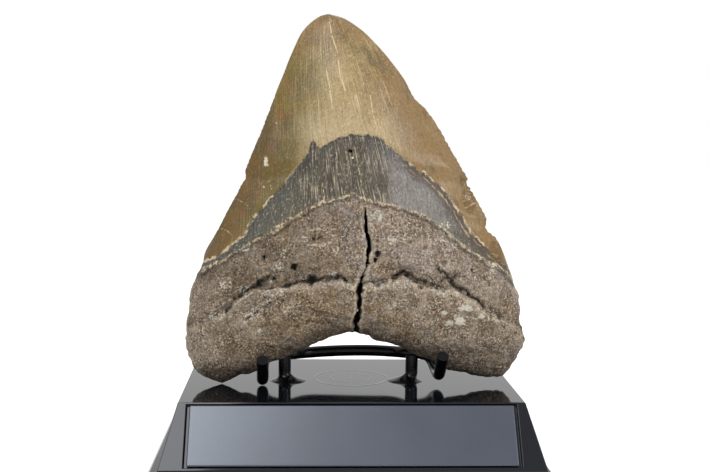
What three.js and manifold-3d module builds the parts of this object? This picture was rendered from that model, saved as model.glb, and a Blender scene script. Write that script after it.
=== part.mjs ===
// A fossil megalodon tooth, leaning back a little in the bent-rod cradle of its display stand.
// Millimetres, +Z up, the tooth's inner side facing -Y, origin under the middle of the stand's base.
import * as THREE from 'three';
import { mergeVertices } from 'three/addons/utils/BufferGeometryUtils.js';
import Module from 'manifold-3d';

const wasm = await Module();
wasm.setup();

// The block that the cradle stands on
const BASE_HEIGHT = 27;
const TOP_WIDTH = 106;
const TOP_DEPTH = 66;
const SLOPE_DROP = 17.5;
const SIDE_RUN = 4.8;
const FRONT_RUN = 12.6;
const PLINTH_WIDTH = 126;
const PLINTH_DEPTH = 99;
const PLINTH_HEIGHT = 4.5;

// The plate set in a shallow recess of the sloping front face
const PLATE_WIDTH = 98.6;
const PLATE_LENGTH = 19.2;
const PLATE_THICKNESS = 1.3;
const RECESS_DEPTH = 1.3;
const RECESS_SIDE_MARGIN = 1.0;
const RECESS_END_MARGIN = 0.4;
const PLATE_RISE = 0.25;
const PLATE_GAP = 0.3;

// The cradle: one bent round rod on two posts with flared feet
const ROD_RADIUS = 1.9;
const ROD_SIDES = 12;
const POST_RADIUS = 2.05;
const FOOT_RADIUS = 5.9;
const FOOT_HEIGHT = 2.5;
const POST_SIDES = 16;
const LEFT_POST = [-21.15, -2.4, 8.2, 1.2];
const RIGHT_POST = [20.8, -2.3, 8.7, -2.2];

// The rod's centre line from the left hook round the back to the right hook, above the base's top
const ROD_LINE = [
  [-28.0, -18.0, 10.0],
  [-28.0, -16.8, 8.7],
  [-28.0, -15.2, 6.7],
  [-28.0, -13.4, 4.5],
  [-28.1, -11.6, 2.75],
  [-28.2, -9.6, 2.1],
  [-28.3, -7.0, 2.7],
  [-28.4, -4.2, 3.3],
  [-28.3, -1.4, 4.6],
  [-27.7, 0.4, 6.5],
  [-26.2, 0.9, 7.8],
  [-23.8, 0.3, 8.3],
  [-20.6, -0.6, 8.5],
  [-14.0, 3.6, 8.16],
  [-7.0, 5.0, 8.39],
  [0.6, 5.2, 8.63],
  [8.0, 4.9, 8.7],
  [15.0, 3.6, 8.61],
  [20.6, -0.6, 8.95],
  [24.0, 0.0, 8.6],
  [26.4, -0.2, 7.9],
  [27.7, -1.5, 6.5],
  [28.3, -3.7, 5.0],
  [28.7, -6.5, 4.0],
  [28.8, -9.2, 3.75],
  [28.9, -11.4, 4.2],
  [28.95, -13.4, 5.8],
  [29.0, -15.2, 7.9],
  [29.1, -16.9, 10.0],
  [29.2, -18.0, 11.3],
];

// The tooth's place on the base and its backward lean
const TOOTH_Y = -7;
const TOOTH_LEAN = THREE.MathUtils.degToRad(4.5);

// The tooth's outline, across and up in its own plane: both edges from the lobes to the crown's tip,
// point by point at the same rows, with the nicks that the edges have
const LEFT_EDGE = [
  [-41.3, 0.3], [-45.9, 1.7], [-49.4, 4.0], [-51.6, 7.2], [-52.9, 11.2], [-53.2, 14.4], [-52.9, 19.2],
  [-52.3, 24.2], [-51.6, 29.8], [-49.7, 34.6], [-48.2, 38.7], [-47.1, 42.9], [-44.7, 47.1],
  [-42.4, 51.2], [-40.6, 54.8], [-39.3, 57.4], [-37.3, 61.0], [-35.5, 64.5], [-34.0, 67.3],
  [-34.2, 69.0], [-33.1, 72.3], [-31.2, 77.0], [-28.6, 83.4], [-25.8, 90.9], [-23.9, 96.2],
  [-21.9, 101.4], [-20.5, 105.1], [-18.3, 110.2], [-16.0, 114.7], [-12.7, 118.1], [-10.2, 119.7],
  [-7.8, 120.4],
];
const RIGHT_EDGE = [
  [48.0, 2.3], [50.4, 2.5], [52.7, 5.1], [55.4, 8.9], [57.2, 13.0], [57.6, 16.5], [55.9, 21.2],
  [56.0, 25.3], [55.3, 29.4], [54.0, 33.7], [52.0, 38.6], [50.4, 43.1], [47.4, 48.2], [44.8, 50.4],
  [44.2, 51.8], [44.5, 53.7], [42.8, 57.5], [40.7, 61.0], [38.8, 64.3], [37.8, 65.4], [38.1, 66.7],
  [35.9, 71.0], [32.0, 77.7], [28.0, 84.3], [24.2, 89.8], [20.7, 93.2], [17.2, 99.4], [13.3, 104.7],
  [8.5, 110.3], [2.7, 115.7], [-3.2, 119.2], [-7.8, 120.4],
];

// The root's arched underside, from each lobe's lowest point to the notch at the crack
const LEFT_ARCH = [
  [-41.3, 0.3], [-38.9, 1.2], [-35.2, 2.9], [-33.2, 2.9], [-30.3, 4.0], [-26.1, 6.7], [-20.2, 8.9],
  [-13.8, 12.2], [-8.3, 14.5], [-4.2, 16.1], [-0.1, 16.6], [2.4, 16.6],
];
const RIGHT_ARCH = [
  [48.0, 2.3], [45.3, 2.1], [42.0, 2.6], [37.0, 3.8], [32.2, 4.6], [28.1, 7.1], [22.8, 9.5],
  [18.8, 10.9], [14.4, 12.8], [8.6, 14.4], [5.9, 15.9], [2.4, 16.6],
];

// The line from the notch up the crack and on to the tip
const MIDDLE_LINE = [
  [2.4, 16.6], [2.3, 19.2], [2.8, 23.4], [3.2, 27.5], [3.4, 31.7], [4.0, 35.0], [5.2, 38.4],
  [5.9, 42.5], [6.1, 46.3], [5.6, 49.6], [5.1, 53.8], [4.9, 57.5], [3.7, 63.3], [1.0, 76.3],
  [-2.1, 92.5], [-5.1, 108.7], [-7.8, 120.4],
];

// How far the inner and outer sides stand off the outline's plane at each height, at mid width
const INNER_DEPTH = [
  [0, 6.8], [12, 8.0], [22, 11.0], [32, 13.4], [40, 14.0], [50, 13.0], [62, 11.4], [80, 10.2],
  [100, 7.4], [112, 4.6], [118, 2.6], [121, 0.9],
];
const OUTER_DEPTH = [
  [0, 5.6], [20, 7.0], [34, 7.4], [48, 5.6], [62, 4.3], [80, 3.4], [100, 2.8], [112, 1.9], [121, 0.6],
];

// The width of the rounding at the root's rim on each side, how much thinner the root gets towards its
// sides, the shallow hollow in the middle of its outer side, and the crown's lens-shaped section
const INNER_RIM = 12;
const OUTER_RIM = 8;
const ROOT_THINNING = 0.38;
const OUTER_HOLLOW = 0.12;
const CROWN_ROUNDNESS = 2.1;

// Between these heights the rounded root turns into the sharp-edged crown
const ROOT_TOP = 34;
const CROWN_BOTTOM = 56;

// Rows up the tooth, as places in the edge lists, and columns from an edge to the middle line
const RIM_ROWS = [0, 0.12, 0.35, 0.65, 1, 1.5];
const COLUMNS = [0, 0.015, 0.05, 0.11, 0.19, 0.28, 0.38, 0.49, 0.6, 0.71, 0.81, 0.9, 0.96, 1];

// A nick in an edge fades out over this share of the half row, and is evened out over this many rows
const NICK_REACH = 0.14;
const NICK_ROWS = 2;

// The deep crack up from the notch: across, up, half width
const CRACK = [
  [2.2, 13.5, 0.8], [1.7, 20.3, 0.75], [2.2, 24.3, 0.7], [2.6, 28.4, 0.7], [2.8, 32.4, 0.8],
  [3.3, 35.6, 0.65], [4.5, 38.9, 0.6], [5.2, 42.9, 0.6], [5.4, 46.5, 0.5], [4.9, 49.8, 0.4],
  [4.4, 53.8, 0.28], [4.2, 57.4, 0.1],
];
const CRACK_DEPTH = 7;

// The fissures across the root: across, up, half width
const FISSURES = [
  [[-40.0, 24.0, 0.1], [-38.1, 26.9, 0.35], [-33.6, 30.5, 0.5], [-29.1, 33.1, 0.8], [-27.5, 34.9, 0.2]],
  [[-28.4, 31.2, 0.1], [-22.0, 32.2, 0.4], [-16.2, 33.8, 0.6], [-12.3, 34.2, 1.0], [-7.8, 34.5, 0.6],
    [-3.6, 35.5, 0.4], [-1.2, 33.9, 0.5], [3.1, 33.2, 0.5], [8.6, 33.5, 0.5], [12.6, 34.8, 0.7],
    [16.7, 36.6, 0.6], [22.4, 33.4, 0.6], [29.8, 31.6, 0.5], [33.1, 31.2, 0.1]],
  [[27.3, 38.5, 0.15], [31.4, 34.9, 0.6], [36.3, 31.2, 0.5], [42.5, 25.6, 0.5], [49.5, 21.7, 0.1]],
];
const FISSURE_DEPTH = 1.8;
const CUTTER_RISE = 2.5;

// Pits in the root and the bourlette: across, up, radius
const PITS = [
  [-12.3, 34.0, 1.9], [-17.9, 38.6, 0.8], [-27.6, 41.6, 0.9], [-29.1, 33.0, 1.1], [7.8, 42.3, 0.8],
  [-0.4, 73.8, 0.9], [29.2, 36.8, 1.2],
];

const enamelAndRoot = new THREE.MeshStandardMaterial({ color: 0x8a7a5c, roughness: 0.55, metalness: 0 });
const glossBlack = new THREE.MeshStandardMaterial({ color: 0x08080a, roughness: 0.12, metalness: 0 });
const satinBlack = new THREE.MeshStandardMaterial({ color: 0x16181d, roughness: 0.42, metalness: 0 });
const rodBlack = new THREE.MeshStandardMaterial({ color: 0x070709, roughness: 0.3, metalness: 0 });

/** Turns a closed geometry into a solid. */
function toSolid(geometry) {
  const bare = geometry.clone();
  bare.deleteAttribute('normal');
  bare.deleteAttribute('uv');
  const merged = mergeVertices(bare, 1e-4);
  const vertProperties = new Float32Array(merged.attributes.position.array);
  const triVerts = new Uint32Array(merged.index.array);
  return new wasm.Manifold(new wasm.Mesh({ numProp: 3, vertProperties, triVerts }));
}

/** Turns a solid back into a geometry with flat faces. */
function toGeometry(solid) {
  const mesh = solid.getMesh();
  const positions = [];
  for (let i = 0; i < mesh.vertProperties.length; i += mesh.numProp) {
    positions.push(mesh.vertProperties[i], mesh.vertProperties[i + 1], mesh.vertProperties[i + 2]);
  }
  return meshGeometry(positions, Array.from(mesh.triVerts));
}

/** Makes an indexed geometry from flat lists of coordinates and corners. */
function meshGeometry(positions, corners) {
  const geometry = new THREE.BufferGeometry();
  geometry.setAttribute('position', new THREE.Float32BufferAttribute(positions, 3));
  geometry.setIndex(corners);
  geometry.computeVertexNormals();
  return geometry;
}

/** Joins rings of equal point counts into one closed skin, with a fan over each end. */
function skinOfRings(rings) {
  const count = rings[0].length;
  const positions = rings.flat().flatMap((p) => [p.x, p.y, p.z]);
  const corners = [];
  for (let r = 0; r + 1 < rings.length; r += 1) {
    for (let k = 0; k < count; k += 1) {
      const a = r * count + k;
      const b = r * count + (k + 1) % count;
      corners.push(a, b, b + count, a, b + count, a + count);
    }
  }
  const last = (rings.length - 1) * count;
  for (let k = 1; k + 1 < count; k += 1) {
    corners.push(0, k + 1, k);
    corners.push(last, last + k, last + k + 1);
  }
  return meshGeometry(positions, corners);
}

/** A value read from a list of [place, value] pairs, straight between them. */
function fromTable(table, place) {
  for (let i = 1; i < table.length; i += 1) {
    const [high, highValue] = table[i];
    if (place <= high) {
      const [low, lowValue] = table[i - 1];
      const part = THREE.MathUtils.clamp((place - low) / (high - low), 0, 1);
      return THREE.MathUtils.lerp(lowValue, highValue, part);
    }
  }
  return table[table.length - 1][1];
}

/** The point at a fractional place in a list of points. */
function atPlace(points, place) {
  const low = Math.min(Math.floor(place), points.length - 2);
  const part = place - low;
  const [x0, y0] = points[low];
  const [x1, y1] = points[low + 1];
  return new THREE.Vector2(x0 + (x1 - x0) * part, y0 + (y1 - y0) * part);
}

/** How much of a line's length is passed at each of its points, from 0 to 1. */
function lengthShares(points) {
  const shares = [0];
  for (let i = 1; i < points.length; i += 1) {
    const step = Math.hypot(points[i][0] - points[i - 1][0], points[i][1] - points[i - 1][1]);
    shares.push(shares[i - 1] + step);
  }
  return shares.map((value) => value / shares[shares.length - 1]);
}

/** The point at a share of a line's length. */
function atShare(points, shares, share) {
  let i = 1;
  while (i < shares.length - 1 && shares[i] < share) i += 1;
  const part = (share - shares[i - 1]) / (shares[i] - shares[i - 1]);
  return atPlace(points, i - 1 + part);
}

const middleShares = lengthShares(MIDDLE_LINE);
const leftShares = lengthShares(LEFT_EDGE);
const rightShares = lengthShares(RIGHT_EDGE);

/** An edge's point with the nicks evened out, for the part of a row that lies inside the edge. */
function evenedEdge(edge, place) {
  const last = edge.length - 1;
  const spread = Math.min(NICK_ROWS, place, last - place);
  return atPlace(edge, place - spread).add(atPlace(edge, place + spread)).multiplyScalar(0.5);
}

/** One row of the tooth's plane from the left edge over the middle line to the right edge. */
function toothRow(place) {
  const index = Math.min(Math.floor(place), LEFT_EDGE.length - 2);
  const part = place - index;
  const shareOf = (shares) => THREE.MathUtils.lerp(shares[index], shares[index + 1], part);
  const height = (shareOf(leftShares) + shareOf(rightShares)) / 2;
  const middle = atShare(MIDDLE_LINE, middleShares, height);
  const half = (edge, arch) => {
    const archShares = lengthShares(arch);
    const start = atPlace(arch, 0);
    const end = atPlace(arch, arch.length - 1);
    return COLUMNS.map((column) => {
      const evenness = THREE.MathUtils.smoothstep(column, 0, NICK_REACH);
      const outer = atPlace(edge, place).lerp(evenedEdge(edge, place), evenness);
      const chord = start.clone().lerp(end, column);
      const bow = atShare(arch, archShares, column).sub(chord).multiplyScalar(1 - height);
      return outer.clone().lerp(middle, column).add(bow);
    });
  };
  const left = half(LEFT_EDGE, LEFT_ARCH);
  const right = half(RIGHT_EDGE, RIGHT_ARCH).reverse();
  return left.concat(right.slice(1));
}

/** The rows of the tooth's plane, close together at the rim, without the tip's single point. */
function toothRows() {
  const rows = RIM_ROWS.map(toothRow);
  for (let place = 2; place < LEFT_EDGE.length - 1; place += 1) rows.push(toothRow(place));
  return rows;
}

const outline = LEFT_EDGE.concat(RIGHT_EDGE.slice(0, -1).reverse(), RIGHT_ARCH.slice(1),
  LEFT_ARCH.slice(1, -1).reverse()).map(([x, y]) => new THREE.Vector2(x, y));

/** The shortest distance from a point to the outline. */
function rimDistance(point) {
  let nearest = Infinity;
  outline.forEach((start, i) => {
    const side = outline[(i + 1) % outline.length].clone().sub(start);
    const reach = point.clone().sub(start);
    const part = THREE.MathUtils.clamp(reach.dot(side) / side.lengthSq(), 0, 1);
    nearest = Math.min(nearest, reach.sub(side.multiplyScalar(part)).length());
  });
  return nearest;
}

/** A quarter circle's rise from 0 at the rim to 1 at the rim's width. */
function roundRise(distance, width) {
  const left = 1 - Math.min(distance / width, 1);
  return Math.sqrt(1 - left * left);
}

/** How far one side stands off the plane at a point, where across runs from -1 to 1 over the row. */
function standOff(point, across, table, rim, hollow) {
  const height = point.y;
  const thinning = ROOT_THINNING * across ** 2 + hollow * (1 - across ** 2) ** 2;
  const root = (1 - thinning) * roundRise(rimDistance(point), rim);
  const crown = 1 - Math.abs(across) ** CROWN_ROUNDNESS;
  const share = THREE.MathUtils.smoothstep(height, ROOT_TOP, CROWN_BOTTOM);
  return fromTable(table, height) * THREE.MathUtils.lerp(root, crown, share);
}

/** A row's points with how far across the row each one is, from -1 to 1. */
function rowWithPlaces(row) {
  const lengths = [0];
  for (let i = 1; i < row.length; i += 1) lengths.push(lengths[i - 1] + row[i].distanceTo(row[i - 1]));
  const whole = lengths[lengths.length - 1];
  return row.map((point, i) => ({ point, across: 2 * lengths[i] / whole - 1 }));
}

/** The whole tooth without its cracks: one closed skin of an inner and an outer sheet with a shared rim. */
function toothSkin() {
  const rows = toothRows().map(rowWithPlaces);
  const positions = [];
  const sheet = (table, rim, hollow, side) => rows.map((row, r) => row.map(({ point, across }, c) => {
    const onRim = r === 0 || c === 0 || c === row.length - 1;
    const off = onRim ? 0 : side * standOff(point, across, table, rim, hollow);
    positions.push(point.x, off, point.y);
    return positions.length / 3 - 1;
  }));
  const inner = sheet(INNER_DEPTH, INNER_RIM, 0, -1);
  const outer = sheet(OUTER_DEPTH, OUTER_RIM, OUTER_HOLLOW, 1);
  const tip = LEFT_EDGE[LEFT_EDGE.length - 1];
  positions.push(tip[0], 0, tip[1]);
  const tipCorner = positions.length / 3 - 1;
  const corners = [];
  const addSheet = (grid, flip) => {
    const face = (a, b, c) => corners.push(...(flip ? [a, c, b] : [a, b, c]));
    for (let r = 0; r + 1 < grid.length; r += 1) {
      for (let c = 0; c + 1 < grid[r].length; c += 1) {
        face(grid[r][c], grid[r][c + 1], grid[r + 1][c + 1]);
        face(grid[r][c], grid[r + 1][c + 1], grid[r + 1][c]);
      }
    }
    const top = grid[grid.length - 1];
    for (let c = 0; c + 1 < top.length; c += 1) face(top[c], top[c + 1], tipCorner);
  };
  addSheet(inner, false);
  addSheet(outer, true);
  return meshGeometry(positions, corners);
}

/** How far the inner side stands off at a place, found on the nearest row point. */
function innerSurface(x, height) {
  const target = new THREE.Vector2(x, height);
  let best = { gap: Infinity, off: 0 };
  surfaceRows.forEach((row) => row.forEach(({ point, across }) => {
    const gap = point.distanceTo(target);
    if (gap < best.gap) best = { gap, off: standOff(target, across, INNER_DEPTH, INNER_RIM, 0) };
  }));
  return best.off;
}

/** A wedge that follows a line on the inner side: its edge lies deep in the tooth. */
function grooveCutter(line, depth) {
  const rings = line.map(([x, height, half], i) => {
    const [px, py] = line[Math.max(i - 1, 0)];
    const [nx, ny] = line[Math.min(i + 1, line.length - 1)];
    const way = new THREE.Vector2(nx - px, ny - py).normalize();
    const top = innerSurface(x, height) + CUTTER_RISE;
    const low = top - CUTTER_RISE - depth * Math.min(1, half * 3);
    const flare = half * (1 + CUTTER_RISE / depth);
    return [
      new THREE.Vector3(x + way.y * flare, -top, height - way.x * flare),
      new THREE.Vector3(x, -low, height),
      new THREE.Vector3(x - way.y * flare, -top, height + way.x * flare),
    ];
  });
  return toSolid(skinOfRings(rings));
}

/** A faceted ball that presses a pit into the inner side. */
function pitCutter([x, height, radius]) {
  const ball = new THREE.IcosahedronGeometry(radius, 1);
  ball.translate(x, -innerSurface(x, height), height);
  return toSolid(ball);
}

const surfaceRows = toothRows().map(rowWithPlaces);

/** The tooth with its crack, fissures and pits. */
function makeTooth() {
  let solid = toSolid(toothSkin());
  solid = solid.subtract(grooveCutter(CRACK, CRACK_DEPTH));
  FISSURES.forEach((line) => {
    solid = solid.subtract(grooveCutter(line, FISSURE_DEPTH));
  });
  PITS.forEach((pit) => {
    solid = solid.subtract(pitCutter(pit));
  });
  const mesh = new THREE.Mesh(toGeometry(solid), enamelAndRoot);
  mesh.name = 'tooth';
  mesh.position.set(0, TOOTH_Y, BASE_HEIGHT);
  mesh.rotation.x = -TOOTH_LEAN;
  return mesh;
}

/** The bent rod as a round bar along its centre line. */
function rodSolid() {
  const points = ROD_LINE.map(([x, y, z]) => new THREE.Vector3(x, y, z + BASE_HEIGHT));
  const line = new THREE.CatmullRomCurve3(points);
  const section = new THREE.Shape();
  for (let k = 0; k < ROD_SIDES; k += 1) {
    const angle = 2 * Math.PI * k / ROD_SIDES;
    const corner = [ROD_RADIUS * Math.cos(angle), ROD_RADIUS * Math.sin(angle)];
    if (k === 0) section.moveTo(...corner);
    else section.lineTo(...corner);
  }
  const steps = 2 * (ROD_LINE.length - 1);
  return toSolid(new THREE.ExtrudeGeometry(section, { steps, bevelEnabled: false, extrudePath: line }));
}

/** A post with a flared foot that reaches further out to one side. */
function postSolid([x, y, height, reach]) {
  const profile = [
    [FOOT_RADIUS, 0, 1], [FOOT_RADIUS, 0.25, 1], [FOOT_RADIUS * 0.62, 0.9, 0.7], [POST_RADIUS * 1.25, 1.7, 0.3],
    [POST_RADIUS, FOOT_HEIGHT, 0], [POST_RADIUS, height, 0],
  ];
  const rings = profile.map(([radius, rise, share]) => {
    const corners = [];
    for (let k = 0; k < POST_SIDES; k += 1) {
      const angle = 2 * Math.PI * k / POST_SIDES;
      const across = x + reach * share + radius * Math.cos(angle);
      corners.push(new THREE.Vector3(across, y + radius * Math.sin(angle), BASE_HEIGHT + rise));
    }
    return corners;
  });
  return toSolid(skinOfRings(rings));
}

/** The cradle: the rod and both posts as one piece. */
function makeCradle() {
  const solid = rodSolid().add(postSolid(LEFT_POST)).add(postSolid(RIGHT_POST));
  const mesh = new THREE.Mesh(toGeometry(solid), rodBlack);
  mesh.name = 'cradle';
  return mesh;
}

/** A rectangle's four corners at one height. */
function levelRing(width, depth, z) {
  const x = width / 2;
  const y = depth / 2;
  return [[-x, -y], [x, -y], [x, y], [-x, y]].map(([a, b]) => new THREE.Vector3(a, b, z));
}

/** The plate's place on the front slope and the slope's tilt. */
function frontSlope() {
  const down = new THREE.Vector3(0, -FRONT_RUN, -SLOPE_DROP);
  const share = 0.5 - PLATE_RISE / down.length();
  const middle = new THREE.Vector3(0, -TOP_DEPTH / 2, BASE_HEIGHT).addScaledVector(down, share);
  return { middle, tilt: Math.atan2(FRONT_RUN, SLOPE_DROP) };
}

/** A slab lying on the front slope, from one depth under the face to another over it. */
function slopeSlab(width, length, low, high) {
  const { middle, tilt } = frontSlope();
  const slab = new THREE.BoxGeometry(width, high - low, length);
  slab.translate(0, -(low + high) / 2, 0);
  slab.rotateX(-tilt);
  slab.translate(middle.x, middle.y, middle.z);
  return slab;
}

/** The base block: plinth, near-upright band, sloping faces and the recess. */
function makeBase() {
  const bandTop = BASE_HEIGHT - SLOPE_DROP;
  const bandWidth = TOP_WIDTH + 2 * SIDE_RUN;
  const bandDepth = TOP_DEPTH + 2 * FRONT_RUN;
  const rings = [
    levelRing(PLINTH_WIDTH, PLINTH_DEPTH, 0),
    levelRing(PLINTH_WIDTH, PLINTH_DEPTH, PLINTH_HEIGHT - 1),
    levelRing(PLINTH_WIDTH - 2, PLINTH_DEPTH - 2, PLINTH_HEIGHT),
    levelRing(bandWidth + 1, bandDepth + 1, PLINTH_HEIGHT),
    levelRing(bandWidth, bandDepth, bandTop),
    levelRing(TOP_WIDTH, TOP_DEPTH, BASE_HEIGHT),
  ];
  let solid = toSolid(skinOfRings(rings));
  const recessWidth = PLATE_WIDTH + 2 * RECESS_SIDE_MARGIN;
  const recessLength = PLATE_LENGTH + 2 * RECESS_END_MARGIN;
  solid = solid.subtract(toSolid(slopeSlab(recessWidth, recessLength, -RECESS_DEPTH, 3)));
  const mesh = new THREE.Mesh(toGeometry(solid), glossBlack);
  mesh.name = 'base';
  return mesh;
}

/** The bare plate lying in the recess. */
function makePlate() {
  const low = PLATE_GAP - RECESS_DEPTH;
  const slab = slopeSlab(PLATE_WIDTH, PLATE_LENGTH, low, low + PLATE_THICKNESS);
  const mesh = new THREE.Mesh(slab, satinBlack);
  mesh.name = 'sign_plate';
  return mesh;
}

const toothOnStand = new THREE.Group();
toothOnStand.add(makeTooth(), makeCradle(), makeBase(), makePlate());

export default toothOnStand;
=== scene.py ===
"""A fossil megalodon tooth on its display stand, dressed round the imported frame.

Lengths are written in millimetres and turned into metres where a mesh is made.
"""

import logging
import math
from dataclasses import dataclass, field
from enum import Enum

import bpy
import numpy as np
from mathutils import Matrix, Vector, noise

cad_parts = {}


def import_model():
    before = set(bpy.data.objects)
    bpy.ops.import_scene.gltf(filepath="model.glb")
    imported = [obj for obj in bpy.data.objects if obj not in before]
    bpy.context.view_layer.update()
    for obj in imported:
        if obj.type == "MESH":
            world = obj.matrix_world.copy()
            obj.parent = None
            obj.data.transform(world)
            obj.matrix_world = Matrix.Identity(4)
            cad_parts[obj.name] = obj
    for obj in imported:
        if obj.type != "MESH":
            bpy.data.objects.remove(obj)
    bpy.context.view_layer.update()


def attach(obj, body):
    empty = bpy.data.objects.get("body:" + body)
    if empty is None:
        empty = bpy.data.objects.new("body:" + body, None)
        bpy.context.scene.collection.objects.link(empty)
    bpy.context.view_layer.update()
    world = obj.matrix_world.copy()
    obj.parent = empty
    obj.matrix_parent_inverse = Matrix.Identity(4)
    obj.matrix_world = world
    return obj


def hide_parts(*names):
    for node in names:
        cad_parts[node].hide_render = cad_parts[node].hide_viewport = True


MM = 0.001
LOG = logging.getLogger("tooth_on_stand")

Point = tuple[float, ...]
Line = list[Point]


class Slot(Enum):
    """The material slots."""

    FOSSIL = "fossil"
    ROD = "black_rod"
    BASE = "gloss_black"
    PLATE = "satin_plate"


def srgb(red: int, green: int, blue: int) -> tuple[float, float, float, float]:
    """Turns a colour as the eye reads it, 0 to 255, into the renderer's linear colour."""
    def linear(value: int) -> float:
        """One channel made linear."""
        share = value / 255
        return share / 12.92 if share <= 0.04045 else ((share + 0.055) / 1.055) ** 2.4
    return (linear(red), linear(green), linear(blue), 1.0)


# Work steps on a mesh

def deselect_all() -> None:
    """Leaves edit mode and deselects every object."""
    if bpy.context.object and bpy.context.object.mode != "OBJECT":
        bpy.ops.object.mode_set(mode="OBJECT")
    bpy.ops.object.select_all(action="DESELECT")


def pick(piece: bpy.types.Object) -> None:
    """Makes one object the only selected and the active one."""
    deselect_all()
    piece.select_set(True)
    bpy.context.view_layer.objects.active = piece


def edit(piece: bpy.types.Object, select: str = "SELECT") -> None:
    """Opens a piece in edit mode with all or nothing selected."""
    pick(piece)
    bpy.ops.object.mode_set(mode="EDIT")
    bpy.ops.mesh.select_all(action=select)


def close_edit() -> None:
    """Leaves edit mode."""
    bpy.ops.object.mode_set(mode="OBJECT")


def bake_place(piece: bpy.types.Object) -> None:
    """Writes a piece's place, turn and size into its mesh."""
    pick(piece)
    bpy.ops.object.transform_apply(location=True, rotation=True, scale=True)


def use_modifier(piece: bpy.types.Object, kind: str, **settings: object) -> None:
    """Adds a modifier with the settings given and applies it."""
    pick(piece)
    modifier = piece.modifiers.new(kind.title(), kind)
    for name, value in settings.items():
        setattr(modifier, name, value)
    bpy.ops.object.modifier_apply(modifier=modifier.name)


def outward(piece: bpy.types.Object, merge: float = 1e-6) -> None:
    """Merges doubled vertices and turns all faces outwards."""
    edit(piece)
    bpy.ops.mesh.remove_doubles(threshold=merge)
    bpy.ops.mesh.normals_make_consistent(inside=False)
    close_edit()


def smooth(piece: bpy.types.Object, degrees: float = 35.0) -> None:
    """Shades a piece smooth where its faces meet at less than an angle."""
    pick(piece)
    bpy.ops.object.shade_smooth_by_angle(angle=math.radians(degrees))


def crisp_bevel(piece: bpy.types.Object, width: float, segments: int = 3, degrees: float = 25.0) -> None:
    """Rounds a piece's hard edges and keeps its flat faces flat in the shading."""
    use_modifier(piece, "BEVEL", width=width * MM, segments=segments, limit_method="ANGLE",
                 angle_limit=math.radians(degrees), harden_normals=False)
    smooth(piece, 40.0)
    use_modifier(piece, "WEIGHTED_NORMAL", keep_sharp=True, weight=80)


def finish_piece(piece: bpy.types.Object, name: str, slot: Slot, material: bpy.types.Material,
                 *replaced: str) -> bpy.types.Object:
    """Names and dresses a piece and hangs it on the one body.

    Args:
        piece: the finished mesh object.
        name: what a person would call it.
        slot: not used.
        material: its finish.
        replaced: the CAD nodes that it stands for.

    Returns:
        The piece.
    """
    bake_place(piece)
    piece.name = name
    piece.data.name = name
    piece.data.materials.clear()
    piece.data.materials.append(material)
    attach(piece, "root")
    if replaced:
        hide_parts(*replaced)
    LOG.info("%s: %d faces", name, len(piece.data.polygons))
    return piece


# Drawn lines

def chords(points: np.ndarray) -> np.ndarray:
    """The length of each step of a line."""
    return np.linalg.norm(np.diff(points, axis=0), axis=1)


def shares(points: np.ndarray) -> np.ndarray:
    """How much of a line's length is passed at each point, from 0 to 1."""
    passed = np.concatenate([[0.0], np.cumsum(chords(points))])
    return passed / passed[-1]


def curve_at(points: np.ndarray, places: np.ndarray) -> np.ndarray:
    """Reads a smooth curve through drawn points.

    Args:
        points: the points, one row each.
        places: fractional places in the list, such as 2.5 between the third and fourth.

    Returns:
        One point for each place.
    """
    last = len(points) - 1
    places = np.clip(places, 0, last)
    low = np.minimum(places.astype(int), last - 1)
    part = (places - low)[:, None]
    steps = chords(points)[:, None]
    slopes = np.diff(points, axis=0) / steps
    tangents = np.empty_like(points)
    tangents[1:-1] = (slopes[:-1] * steps[1:] + slopes[1:] * steps[:-1]) / (steps[:-1] + steps[1:])
    tangents[0], tangents[-1] = slopes[0], slopes[-1]
    step = steps[low]
    start, end = points[low], points[low + 1]
    rise = (1 + 2 * part) * (1 - part) ** 2 * start + part ** 2 * (3 - 2 * part) * end
    return rise + step * part * (1 - part) * ((1 - part) * tangents[low] - part * tangents[low + 1])


def table_at(table: Line, values: np.ndarray) -> np.ndarray:
    """Reads a smooth value from a list of place and value pairs."""
    pairs = np.array(table, float)
    places = np.interp(values, pairs[:, 0], np.arange(len(pairs)))
    return curve_at(pairs, places.ravel())[:, 1].reshape(values.shape)


def near_line(points: np.ndarray, line: np.ndarray) -> tuple[np.ndarray, np.ndarray]:
    """Measures points against a line.

    Args:
        points: the points, shape (n, 2).
        line: the line's points, shape (m, 2).

    Returns:
        The distance, and the place in the line's list of the nearest point on it.
    """
    starts, ways = line[:-1], np.diff(line, axis=0)
    square = (ways ** 2).sum(axis=1)
    distance, place = np.empty(len(points)), np.empty(len(points))
    chunk = max(1, 2_000_000 // len(ways))
    for first in range(0, len(points), chunk):
        some = points[first:first + chunk, None, :] - starts[None]
        part = np.clip((some * ways).sum(axis=2) / square, 0, 1)
        gaps = np.linalg.norm(some - part[..., None] * ways, axis=2)
        best = gaps.argmin(axis=1)
        row = np.arange(len(best))
        distance[first:first + chunk] = gaps[row, best]
        place[first:first + chunk] = best + part[row, best]
    return distance, place


def height_over(points: np.ndarray, line: Line) -> np.ndarray:
    """The distance of points from a line that runs from left to right, below 0 under the line."""
    drawn = np.array(line, float)
    level = np.interp(points[:, 0], drawn[:, 0], drawn[:, 1])
    return near_line(points, drawn)[0] * np.where(points[:, 1] >= level, 1, -1)


def step_up(values: np.ndarray, low: float, high: float) -> np.ndarray:
    """A smooth rise from 0 at low to 1 at high; it falls where high is below low."""
    part = np.clip((values - low) / (high - low), 0, 1)
    return part * part * (3 - 2 * part)


def grain(points: np.ndarray, size: Point, octaves: int = 2, seed: float = 0.0) -> np.ndarray:
    """Rough noise about 0 at points, whose features have the size given along each axis."""
    scaled = points / np.array(size) + seed
    return np.array([noise.fractal(Vector(p), 0.7, 2.1, octaves) for p in scaled.tolist()])


# The camera and the studio

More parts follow.
